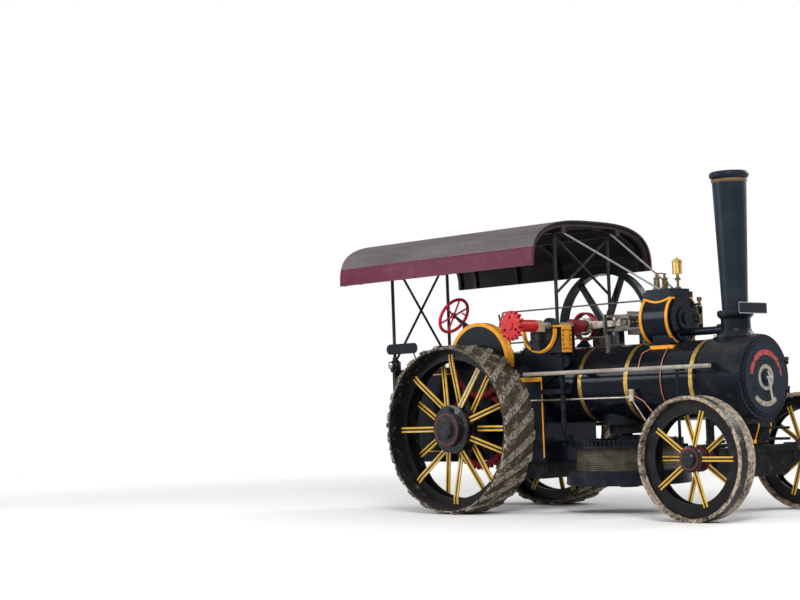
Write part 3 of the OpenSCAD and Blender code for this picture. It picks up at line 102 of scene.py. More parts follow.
class Nodes:
    """Adds nodes to one tree, with short calls for the ones that repeat."""

    rows, row_step, column_step = 12, 60, 40

    def __init__(self, tree):
        self.tree = tree
        self.count = 0

    def add(self, kind, **values):
        node = self.tree.nodes.new(kind)
        self.count += 1
        node.location = (self.count * self.column_step, -(self.count % self.rows) * self.row_step)
        for name, value in values.items():
            setattr(node, name, value)
        return node

    def link(self, source, target):
        self.tree.links.new(source, target)

    def feed(self, socket, value):
        if isinstance(value, bpy.types.NodeSocket):
            self.link(value, socket)
        else:
            socket.default_value = value

    def math(self, operation, *values, clamp=False):
        node = self.add("ShaderNodeMath", operation=operation, use_clamp=clamp)
        for socket, value in zip(node.inputs, values):
            self.feed(socket, value)
        return node.outputs[0]

    def plus(self, a, b, clamp=False):
        return self.math("ADD", a, b, clamp=clamp)

    def minus(self, a, b):
        return self.math("SUBTRACT", a, b)

    def size(self, value):
        return self.math("ABSOLUTE", value)

    def chain(self, operation, values):
        total = values[0]
        for value in values[1:]:
            total = self.math(operation, total, value)
        return total

    def times(self, *values):
        """The product of numbers, or where all of the masks hold."""
        return self.chain("MULTIPLY", values)

    def most(self, *values):
        """The largest of some numbers, or where any of the masks holds."""
        return self.chain("MAXIMUM", values)

    def mix(self, factor, a, b, blend_type="MIX"):
        node = self.add("ShaderNodeMix", data_type="RGBA", blend_type=blend_type)
        self.feed(node.inputs["Factor"], factor)
        for place, value in zip(MIX_COLORS, (a, b)):
            self.feed(node.inputs[place], rgba(value))
        return node.outputs[2]

    def blend(self, factor, a, b):
        node = self.add("ShaderNodeMix", data_type="FLOAT")
        self.feed(node.inputs["Factor"], factor)
        for place, value in zip(MIX_FLOATS, (a, b)):
            self.feed(node.inputs[place], value)
        return node.outputs[0]

    def remap(self, value, low, high, to_low=0.0, to_high=1.0):
        node = self.add("ShaderNodeMapRange", clamp=True)
        for socket, given in zip(node.inputs, (value, low, high, to_low, to_high)):
            self.feed(socket, given)
        return node.outputs["Result"]

    def fall(self, value, low, high):
        """1 under the low value and 0 over the high one."""
        return self.remap(value, low, high, 1.0, 0.0)

    def within(self, value, low, high, soft=0.0015):
        rise = self.remap(value, low - soft, low + soft)
        return self.times(rise, self.fall(value, high - soft, high + soft))

    def place(self):
        return self.add("ShaderNodeTexCoord").outputs["Object"]

    def xyz(self, vector):
        node = self.add("ShaderNodeSeparateXYZ")
        self.link(vector, node.inputs[0])
        return node.outputs

    def noise(self, vector, scale, detail=4.0, rough=0.5, stretch=None):
        if stretch:
            turn = self.add("ShaderNodeMapping")
            turn.inputs["Scale"].default_value = stretch
            self.link(vector, turn.inputs["Vector"])
            vector = turn.outputs["Vector"]
        node = self.add("ShaderNodeTexNoise")
        self.link(vector, node.inputs["Vector"])
        self.feed(node.inputs["Scale"], scale)
        node.inputs["Detail"].default_value = detail
        node.inputs["Roughness"].default_value = rough
        return node.outputs["Fac"]

    def offset(self, across, up, centre):
        return self.minus(across, centre[0]), self.minus(up, centre[1])

    def radius(self, across, up, centre):
        a, b = self.offset(across, up, centre)
        return self.math("SQRT", self.plus(self.times(a, a), self.times(b, b)))

    def angle(self, across, up, centre):
        a, b = self.offset(across, up, centre)
        return self.math("ARCTAN2", b, a)


def add_inputs(tree, rows):
    """Adds sockets from (name, kind, default) rows and gives their identifiers by name."""
    made = {}
    for label, kind, value in rows:
        socket = tree.interface.new_socket(label, in_out="INPUT", socket_type="NodeSocket" + kind)
        if value is not None:
            socket.default_value = value
        made[label] = socket.identifier
    return made


# Materials

GROUPS = {}


def group(name, inputs, masks=()):
    """A new shader group with a colour, a roughness and a height: its nodes, inputs and outputs."""
    tree = bpy.data.node_groups.new(name, "ShaderNodeTree")
    add_inputs(tree, [("Vector", "Vector", None), *inputs])
    for label in ("Color", "Roughness", "Height", *masks):
        kind = "NodeSocketColor" if label == "Color" else "NodeSocketFloat"
        tree.interface.new_socket(label, in_out="OUTPUT", socket_type=kind)
    GROUPS[name] = tree
    n = Nodes(tree)
    return n, n.add("NodeGroupInput").outputs, n.add("NodeGroupOutput").inputs


def make_paint_group():
    """Paint over metal: slight colour drift, dust on upward faces and a thin film of it."""
    n, given, out = group("Old Paint", [
        ("Color", "Color", (0.5, 0.5, 0.5, 1)), ("Dust", "Color", (0.35, 0.3, 0.23, 1)),
        ("Dust Amount", "Float", 0.25), ("Roughness", "Float", 0.25), ("Scale", "Float", 9.0)])
    vector, scale = given["Vector"], given["Scale"]
    broad = n.noise(vector, scale, 5.0, 0.6)
    fine = n.noise(vector, n.times(scale, 14.0), 3.0, 0.6)
    shade = n.mix(n.remap(broad, 0.3, 0.7), (0.78, 0.78, 0.78), (1.12, 1.12, 1.12))
    tinted = n.mix(1.0, given["Color"], shade, "MULTIPLY")
    up = n.xyz(n.add("ShaderNodeNewGeometry").outputs["Normal"])["Z"]
    settled = n.times(n.remap(up, 0.2, 0.95), n.remap(fine, 0.38, 0.66))
    film = n.times(n.remap(broad, 0.52, 0.75), 0.45)
    dust = n.times(n.plus(settled, film, clamp=True), given["Dust Amount"])
    n.link(n.mix(dust, tinted, given["Dust"]), out["Color"])
    rough = n.plus(given["Roughness"], n.remap(fine, 0.35, 0.75, -0.04, 0.14))
    n.link(n.plus(rough, n.times(dust, 0.55), clamp=True), out["Roughness"])
    n.link(n.plus(n.times(broad, 0.4), n.times(fine, 0.12)), out["Height"])


def make_mud_group():
    """Dried mud over what lies under it, with paler crumbs."""
    n, given, out = group("Field Mud", [
        ("Under", "Color", (0.03, 0.03, 0.03, 1)), ("Mud", "Color", (0.3, 0.2, 0.12, 1)),
        ("Pale Mud", "Color", (0.55, 0.42, 0.28, 1)), ("Cover", "Float", 0.7),
        ("Scale", "Float", 12.0)], ["Mask"])
    vector, scale = given["Vector"], given["Scale"]
    patch = n.noise(vector, scale, 8.0, 0.65)
    crumb = n.noise(vector, n.times(scale, 5.0), 6.0, 0.7)
    both = n.plus(n.times(patch, 0.65), n.times(crumb, 0.35))
    edge = n.times(n.minus(1.0, given["Cover"]), 0.5)
    mask = n.remap(both, n.plus(edge, 0.22), n.plus(edge, 0.34))
    color = n.mix(n.remap(crumb, 0.46, 0.60), given["Mud"], given["Pale Mud"])
    n.link(n.mix(mask, given["Under"], color), out["Color"])
    n.link(n.blend(mask, 0.35, 0.95), out["Roughness"])
    n.link(n.times(mask, n.plus(crumb, 0.4)), out["Height"])
    n.link(mask, out["Mask"])


def make_metal_group():
    """Machined or cast metal: fine scratches and darker stains."""
    n, given, out = group("Worked Metal", [
        ("Color", "Color", (0.6, 0.6, 0.6, 1)), ("Stain", "Color", (0.1, 0.07, 0.04, 1)),
        ("Stain Amount", "Float", 0.4), ("Roughness", "Float", 0.3), ("Scale", "Float", 18.0)])
    vector, scale = given["Vector"], given["Scale"]
    broad = n.noise(vector, scale, 6.0, 0.6)
    fine = n.noise(vector, n.times(scale, 12.0), 2.0, 0.5, (1.0, 6.0, 1.0))
    stain = n.times(n.remap(broad, 0.45, 0.7), given["Stain Amount"])
    n.link(n.mix(stain, given["Color"], given["Stain"]), out["Color"])
    rough = n.plus(given["Roughness"], n.remap(fine, 0.3, 0.7, -0.08, 0.12))
    n.link(n.plus(rough, n.times(stain, 0.35), clamp=True), out["Roughness"])
    n.link(n.plus(n.times(broad, 0.25), n.times(fine, 0.2)), out["Height"])


class Finish:
    """One material with a Principled shader, filled through a shared group."""

    def __init__(self, name, coat=0.0, metallic=0.0, specular=0.5):
        self.material = bpy.data.materials.new(name)
        self.material.use_nodes = True
        tree = self.material.node_tree
        self.shader = tree.nodes["Principled BSDF"]
        self.n = Nodes(tree)
        self.vector = self.n.place()
        self.x, self.y, self.z = self.n.xyz(self.vector)
        for label, value in (("Metallic", metallic), ("Coat Weight", coat),
                             ("Coat Roughness", 0.06), ("Specular IOR Level", specular)):
            self.shader.inputs[label].default_value = value

    def use(self, group_name, **values):
        """Places a shared group, with its inputs named with _ for a space."""
        node = self.n.add("ShaderNodeGroup", node_tree=GROUPS[group_name])
        self.n.link(self.vector, node.inputs["Vector"])
        for label, value in values.items():
            socket = node.inputs[label.replace("_", " ")]
            self.n.feed(socket, rgba(value) if socket.type == "RGBA" else value)
        return node

    def end(self, color, rough, height, depth, strength=0.5):
        """Feeds the shader and gives the material; depth is the bump's, in metres."""
        self.n.feed(self.shader.inputs["Base Color"], color)
        self.n.feed(self.shader.inputs["Roughness"], rough)
        bump = self.n.add("ShaderNodeBump")
        bump.inputs["Distance"].default_value = depth
        bump.inputs["Strength"].default_value = strength
        self.n.link(height, bump.inputs["Height"])
        self.n.link(bump.outputs["Normal"], self.shader.inputs["Normal"])
        return self.material

    def end_with(self, node, depth):
        outputs = node.outputs
        return self.end(outputs["Color"], outputs["Roughness"], outputs["Height"], depth)


def paint(name, color, rough=0.22, coat=0.03, dust=0.035, scale=9.0, depth=0.0012,
          specular=0.10):
    """A painted metal finish; color is a colour, or a pattern that is given the finish."""
    f = Finish(name, coat=coat, specular=specular)
    # The reflections are tinted blue as a painted sky reflection
    f.shader.inputs["Specular Tint"].default_value = SKY_REFLECTION_TINT
    value = color(f) if callable(color) else color
    return f.end_with(f.use("Old Paint", Color=value, Dust_Amount=dust, Roughness=rough,
                            Scale=scale), depth)


def metal(name, color, rough=0.3, stain=0.35, stain_color=(0.1, 0.07, 0.04), metallic=1.0,
          specular=0.5):
    """A bare metal finish, with its color given as in paint."""
    f = Finish(name, metallic=metallic, specular=specular)
    value = color(f) if callable(color) else color
    return f.end_with(f.use("Worked Metal", Color=value, Stain=stain_color, Stain_Amount=stain,
                            Roughness=rough, Scale=18.0), 0.0006)


# Sizes and colours that a user would change


def colour(name, value, description):
    return bpy.props.FloatVectorProperty(
        name=name, description=description, subtype="COLOR", size=3, min=0.0, max=1.0,
        default=value)


def length(name, value, description):
    return bpy.props.FloatProperty(
        name=name, description=description, subtype="DISTANCE", unit="LENGTH", min=0.0,
        default=value)


def power(name, value, description):
    return bpy.props.FloatProperty(
        name=name, description=description, subtype="POWER", unit="POWER", default=value)


class EnginePaints(bpy.types.PropertyGroup):
    """Colours of the engine's paint and metal"""

    body: colour("Body", (0.0035, 0.0050, 0.0085), "Gloss paint of the boiler and cylinder")
    lining: colour("Lining", (0.74, 0.31, 0.025), "Lining along the edges of the plates")
    spokes: colour("Spokes", (0.60, 0.355, 0.040), "Flat faces of the wheel spokes")
    clutch: colour("Clutch Gear", (0.44, 0.020, 0.019), "Winding gear and its sleeve")
    crimson: colour("Gears", (0.19, 0.008, 0.016), "Rims of the spur gears")
    smokebox: colour("Smokebox", (0.0055, 0.0078, 0.0115), "Heat-proof paint of the smokebox")
    canopy: colour("Canopy", (0.100, 0.086, 0.087), "Weathered canvas on the canopy")
    valance: colour("Valance", (0.095, 0.011, 0.030), "Painted board on the canopy's edge")
    mud: colour("Mud", (0.062, 0.052, 0.038), "Dried field mud on the treads")
    rod: colour("Steering Rod", (0.38, 0.35, 0.31), "Pale worn paint of the steering rod")


class EngineFittings(bpy.types.PropertyGroup):
    """Sizes of the small fittings"""

    rivet: length("Rivet Head", 0.011, "Radius of a plate rivet's head")
    bolt: length("Bolt Head", 0.016, "Radius of a cover bolt's head")
    clod: length("Mud Clod", 0.020, "Size of a lump of mud between the strakes")
    plate_border: length("Plate Border", 0.006, "Width of the border on the blank plates")
    board_gap: length("Board Gap", 0.115, "Distance between the board lines in the canvas")


class EngineStage(bpy.types.PropertyGroup):
    """Floor, lights and camera"""

    floor: colour("Floor", (0.80, 0.80, 0.79), "Plain pale floor")
    floor_size: length("Floor Size", 120.0, "Width of the floor")
    key_power: power("Key Light", 1500.0, "Power of the large soft light")
    fill_power: power("Fill Light", 500.0, "Power of each light from the other sides")
    sky: bpy.props.FloatProperty(
        name="Sky", description="Strength of the even light from all round", subtype="FACTOR",
        min=0.0, max=2.0, default=0.62)


def paints():
    return bpy.context.scene.engine_paints


def fittings():
    return bpy.context.scene.engine_fittings


# Painted patterns


def pattern(draw):
    """Lets a pattern take its own values first and the finish that it paints later."""
    def make(*values):
        return lambda f: draw(f, f.n, *values)
    return make


@pattern
def spoke_pattern(f, n, centre, count, flange_r, ring_r, stripe, yellow, black, red):
    """Yellow spokes with a dark stripe down the middle, and a black hub with a red ring."""
    r = n.radius(f.x, f.z, centre.xz)
    step = 2 * math.pi / count
    turn = n.math("DIVIDE", n.angle(f.x, f.z, centre.xz), step)
    off = n.times(n.minus(turn, n.math("ROUND", turn)), step)
    across = n.size(n.times(r, n.math("SINE", off)))
    spoke = n.mix(n.fall(across, stripe, stripe + 0.0015), yellow, black)
    wheel = n.mix(n.fall(r, flange_r, flange_r + 0.002), spoke, black)
    return n.mix(n.within(r, ring_r - 0.006, ring_r + 0.004), wheel, red)


@pattern
def lagging_pattern(f, n, black, line):
    """Lining round both ends of the cylinder's lagging, along its top and its base plate."""
    ring_w, inset = 0.031, 0.03
    r = n.radius(f.y, f.z, (0.0, CRANK.z))
    rear = n.within(f.x, CYLINDER_REAR - 0.001, CYLINDER_REAR + ring_w)
    front = n.within(f.x, CYLINDER_FRONT - ring_w, CYLINDER_FRONT + 0.001)
    under = n.fall(f.z, CRANK.z + 0.20, CRANK.z + 0.205)
    ring = n.times(n.most(rear, front), n.within(r, 0.267, 0.284), under)
    way = n.remap(f.x, CYLINDER_REAR + inset, CYLINDER_FRONT - inset, 0.0, math.pi)
    sag = n.times(n.math("SINE", way), -0.035)
    height = n.minus(n.minus(f.z, CRANK.z + 0.215), sag)
    side = n.remap(n.size(f.y), 0.12, 0.125)
    body = n.within(f.x, CYLINDER_REAR - 0.002, CYLINDER_FRONT + 0.002)
    top = n.times(n.within(height, -0.011, 0.011), side, body)
    foot = n.times(n.within(f.z, 1.733, 1.7735), n.remap(n.size(f.y), 0.205, 0.207))
    return n.mix(n.most(ring, top, foot), black, line)


@pattern
def horn_box_pattern(f, n, black, line):
    """Lining round the bearing recess, along the top and down the front plate."""
    recess_z, recess_r, band = 2.0, 0.214, 0.008
    front_x = CRANK.x + 0.3072
    right, left, low, high = -0.575, -0.470, 1.79, 2.0
    r = n.radius(f.x, f.z, (CRANK.x, recess_z))
    ring = n.times(n.within(r, recess_r, recess_r + 0.032), n.fall(f.z, 2.012, 2.014))
    top = n.times(n.remap(f.z, 2.028, 2.03), n.remap(r, recess_r, recess_r + 0.002))
    panel = n.times(n.within(f.y, right, left), n.within(f.z, low, high))
    core = n.times(n.within(f.y, right + band, left - band),
                   n.within(f.z, low + band, high - band))
    groove = n.times(panel, n.minus(1.0, core))
    front = n.times(n.remap(f.x, front_x, front_x + 0.0004), n.minus(1.0, groove))
    return n.mix(n.most(ring, top, front), black, line)


@pattern
def disc_pattern(f, n, centre, edge_r, soft, inner, outer):
    """One colour within a radius round an axis across the engine, and another beyond it."""
    r = n.radius(f.x, f.z, centre.xz)
    return n.mix(n.remap(r, edge_r, edge_r + soft), inner, outer)


@pattern
def plate_pattern(f, n, black, line):
    """Lining along the edges of the hornplates' outer faces."""
    top, front = 1.498, 0.930
    face = n.remap(n.size(f.y), HORNPLATE_Y - 0.0008, HORNPLATE_Y - 0.0004)
    strip = n.times(n.within(f.z, 1.450, top), n.within(f.x, along(0.30), along(front)))
    edge = n.times(n.within(f.x, along(front - 0.018), along(front)), n.within(f.z, 0.60, top))
    return n.mix(n.times(face, n.most(strip, edge)), black, line)


@pattern
def bracket_pattern(f, n, black, line):
    """Lining down the edges of the perch bracket."""
    edge = n.within(n.size(f.y), 0.098, 0.1185)
    return n.mix(n.times(edge, n.fall(f.z, 0.93, 0.932)), black, line)


@pattern
def tender_pattern(f, n, black, line):
    """One thin line inside the edge of the tender's sides and back."""
    width, low, high = 0.012, 0.678, 1.592
    level = n.times(n.remap(f.z, low - 0.002, low), n.fall(f.z, high, high + 0.002))
    rows = n.most(n.within(f.z, low, low + width), n.within(f.z, high - width, high))
    side = n.remap(n.size(f.y), TENDER_Y - 0.0005, TENDER_Y - 0.0002)
    back = n.fall(f.x, along(TENDER_REAR) + 0.0003, along(TENDER_REAR) + 0.0007)
    lines = []
    for face, value, start, end in ((side, f.x, along(-1.40), along(-0.27)),
                                    (back, f.y, -0.40, 0.40)):
        ends = n.most(n.within(value, start, start + width), n.within(value, end - width, end))
        box = n.most(n.times(ends, level), n.times(rows, n.within(value, start, end)))
        lines.append(n.times(face, box))
    return n.mix(n.most(*lines), black, line)


@pattern
def chimney_pattern(f, n, black, ring):
    """A tan band under the chimney's rim."""
    return n.mix(n.within(f.z, 3.419, 3.452), black, ring)


@pattern
def door_pattern(f, n, black, red, cream, steel):
    """Two plain arcs and a ring on the smokebox door, with its handle left bright."""
    r = n.radius(f.y, f.z, (0.0, BOILER_Z))
    turn = n.angle(f.y, f.z, (0.0, BOILER_Z))
    worn = n.remap(n.noise(f.vector, 26.0, 5.0, 0.6), 0.36, 0.5)
    face = n.remap(f.x, DOOR_FRONT - 0.004, DOOR_FRONT - 0.002)
    inner = n.remap(turn, 0.0, 1.1, 0.256, 0.228)
    above = n.times(n.remap(n.minus(r, inner), 0.0, 0.003), n.fall(r, 0.281, 0.284),
                    n.within(turn, 0.04, 2.98, 0.04))
    below = n.times(n.within(r, 0.245, 0.295), n.within(turn, -2.35, -0.95, 0.05))
    color = black
    for shape, wear, tint in ((above, 0.8, red), (below, 0.7, cream),
                              (n.within(r, 0.092, 0.132), 0.5, cream)):
        color = n.mix(n.times(shape, face, n.blend(wear, 1.0, worn)), color, tint)
    return n.mix(n.remap(f.x, DOOR_FRONT + 0.015, DOOR_FRONT + 0.017), color, steel)


@pattern
def crank_pattern(f, n, steel, red, outer):
    """Steel journals with painted webs and eccentrics, and a painted outer end."""
    r = n.radius(f.x, f.z, CRANK.xz)
    webs = n.times(n.remap(r, 0.0465, 0.0475), n.within(f.y, -0.09, 0.22))
    return n.mix(n.fall(f.y, -1.0, -0.998), n.mix(webs, steel, red), outer)


@pattern
def cap_pattern(f, n, dark, tan):
    """Only the cap of the near outer bearing is left in worn tan."""
    outside = n.fall(f.y, -0.590, -0.588)
    cap = n.times(outside, n.remap(f.z, CRANK.z - 0.070, CRANK.z - 0.066))
    return n.mix(cap, dark, tan)


@pattern
def rod_pattern(f, n, dark, pale):
    """The long steering rod is pale and everything that holds it is dark."""
    r = n.radius(f.y, f.z, (-0.577, 1.53))
    low, high = 0.62, 1.08
    worn = n.remap(n.noise(f.vector, 16.0, 6.0, 0.6, (0.3, 1.0, 1.0)), 0.35, 0.62, low, high)
    shade = n.mix(n.minus(worn, low), (0.62, 0.60, 0.56), (1.3, 1.3, 1.3))
    return n.mix(n.fall(r, 0.0228, 0.0236), dark, n.mix(1.0, pale, shade, "MULTIPLY"))


@pattern
def fitting_pattern(f, n, bronze, brass):
    """Only the whistle's bell is bright; the valves and cups are dark bronze."""
    bell = n.times(n.within(f.x, along(2.46), along(2.58)), n.remap(f.z, 2.518, 2.520))
    return n.mix(bell, bronze, brass)


@pattern
def patchy_pattern(f, n, dark, light):
    """Metal that is brighter in patches."""
    return n.mix(n.remap(n.noise(f.vector, 30.0, 4.0), 0.4, 0.7), dark, light)


def canopy_inside(f):
    """1 on the underside of the canopy's shell, 0 on its outside."""
    n = f.n
    height = n.math("DIVIDE", n.minus(f.z, CANOPY_LOW), CANOPY_RISE)
    up = n.math("POWER", n.most(height, 0.0), CANOPY_POWER)
    across = n.math("POWER", n.math("DIVIDE", n.size(f.y), CANOPY_SIDE), CANOPY_POWER)
    return n.fall(n.plus(across, up), 0.955, 0.965)


@pattern
def valance_pattern(f, n, crimson, dark):
    """The valance is crimson on its outside and on both of its ends; its inside is near-black as
    painted shade.
    """
    away = n.size(n.minus(f.x, CANOPY_MIDDLE))
    ends = n.remap(away, CANOPY_HALF - 0.004, CANOPY_HALF - 0.002)
    return n.mix(n.times(canopy_inside(f), n.minus(1.0, ends)), crimson, dark)


# Finishes with more than one pattern


# Distances from the middle plane between which the front treads stay darker
FRONT_STRIP = (0.990, 1.090)


def rim_finish(name, centre, radius, cover, scale, mud_color, pale, strip=None):
    """Black rim with mud on its tread and edges, less of it in a strip along the tread, and paler
    strake tops that are partly worn mud and partly painted highlight.
    """
    f = Finish(name, specular=0.14)
    n = f.n
    r = n.radius(f.x, f.z, centre.xz)
    # Pale patches on the proud strake tops: partly pale worn mud, partly a painted highlight on the
    # strakes
    proud = n.remap(r, radius + 0.010, radius + 0.020)
    worn = n.times(proud, n.remap(n.noise(f.vector, 11.0, 7.0, 0.7), 0.50, 0.62, 0.0, 0.7))
    tread = n.remap(r, radius - 0.020, radius - 0.010)
    amount = n.most(tread, n.remap(r, radius - 0.16, radius - 0.012, 0.0, 0.42))
    if strip:
        bare = n.within(n.size(f.y), *strip, 0.006)
        edge = n.times(n.remap(r, radius - 0.050, radius - 0.034),
                       n.fall(r, radius - 0.012, radius - 0.006))
        amount = n.most(n.times(amount, n.blend(bare, 1.0, 0.50)), n.times(edge, 0.95))
    base = f.use("Old Paint", Color=(0.007, 0.007, 0.008), Dust_Amount=0.08, Roughness=0.3,
                 Scale=8.0).outputs
    mud = f.use("Field Mud", Under=base["Color"], Mud=n.mix(worn, mud_color, pale),
                Pale_Mud=pale, Cover=n.times(amount, cover), Scale=scale).outputs
    rough = n.blend(mud["Mask"], base["Roughness"], mud["Roughness"])
    return f.end(mud["Color"], rough, mud["Height"], 0.012, 0.8)


def canvas_finish(color):
    """Weathered canvas laid over boards: weave, long stains and faint board lines."""
    f = Finish("Canopy Canvas", specular=0.2)
    n = f.n
    threads = 1400.0
    boards = n.math("PINGPONG", n.plus(f.y, 2.0), fittings().board_gap / 2)
    joint = n.fall(boards, 0.0, 0.006)
    stains = n.noise(f.vector, 3.0, 6.0, 0.65, (0.35, 1.6, 1.0))
    weave = n.times(*(n.math("SINE", n.times(value, threads)) for value in (f.x, f.y)))
    base = n.mix(n.remap(stains, 0.32, 0.68), [c * 0.72 for c in color],
                 [min(1, c * 1.3) for c in color])
    soiled = n.mix(n.times(joint, 0.35), base, (0.05, 0.035, 0.03))
    faded = n.remap(n.noise(f.vector, 22.0, 3.0), 0.55, 0.75, 0.0, 0.35)
    outside = n.mix(faded, soiled, (0.2, 0.17, 0.15))
    # The underside of the shell is near-black: painted shade under the canopy
    shell = n.mix(canopy_inside(f), outside, (0.010, 0.0065, 0.006))
    height = n.plus(n.plus(n.times(weave, 0.06), n.times(joint, -0.5)), n.times(stains, 0.8))
    return f.end(shell, n.remap(stains, 0.3, 0.7, 0.72, 0.92), height, 0.004)


def timber_finish(dark, light, post):
    """Stained ribs with grain along the engine, and painted posts and braces below them."""
    f = Finish("Canopy Timber", specular=0.25)
    n = f.n
    grain = n.noise(f.vector, 14.0, 8.0, 0.6, (0.25, 6.0, 6.0))
    painted = n.times(n.fall(n.size(f.y), 0.52, 0.522), n.fall(f.z, 3.066, 3.068))
    color = n.mix(painted, n.mix(n.remap(grain, 0.3, 0.7), dark, light), post)
    old = f.use("Old Paint", Color=color, Dust_Amount=0.15, Roughness=0.6, Scale=7.0).outputs
    return f.end(old["Color"], old["Roughness"], grain, 0.003)


def rope_finish():
    """Greased wire rope: strands that slant across each turn."""
    f = Finish("Wire Rope", metallic=0.6)
    n = f.n
    turn = n.times(n.angle(f.x, f.y, DRUM.xy), 420.0)
    # The strands are lighter on their crests and darker in the grooves between them: painted
    # highlight and painted shade, besides the bump
    lay = n.math("SINE", n.plus(turn, n.times(f.z, 520.0)))
    color = n.mix(n.remap(lay, -0.4, 0.8), (0.035, 0.03, 0.02), (0.20, 0.18, 0.13))
    grease = n.remap(n.noise(f.vector, 9.0, 5.0), 0.4, 0.65, 0.0, 0.7)
    greased = n.mix(grease, color, (0.03, 0.025, 0.018))
    return f.end(greased, n.blend(grease, 0.55, 0.3), lay, 0.004, 0.7)


def wheel_finish(name, centre, count, flange_r, ring_r, stripe):
    spokes = spoke_pattern(centre, count, flange_r, ring_r, stripe, paints().spokes,
                           (0.012, 0.012, 0.014), (0.22, 0.012, 0.018))
    return paint(name, spokes, rough=0.28, coat=0.3, dust=0.22, scale=11.0)


def gear_finish(name, centre, ring_r):
    """A spur gear with a painted rim, and dark arms and hub."""
    gear = disc_pattern(centre, ring_r, 0.004, GEAR_BLACK, paints().crimson)
    return paint(name, gear, rough=0.4, coat=0.0, dust=0.2, scale=14.0)


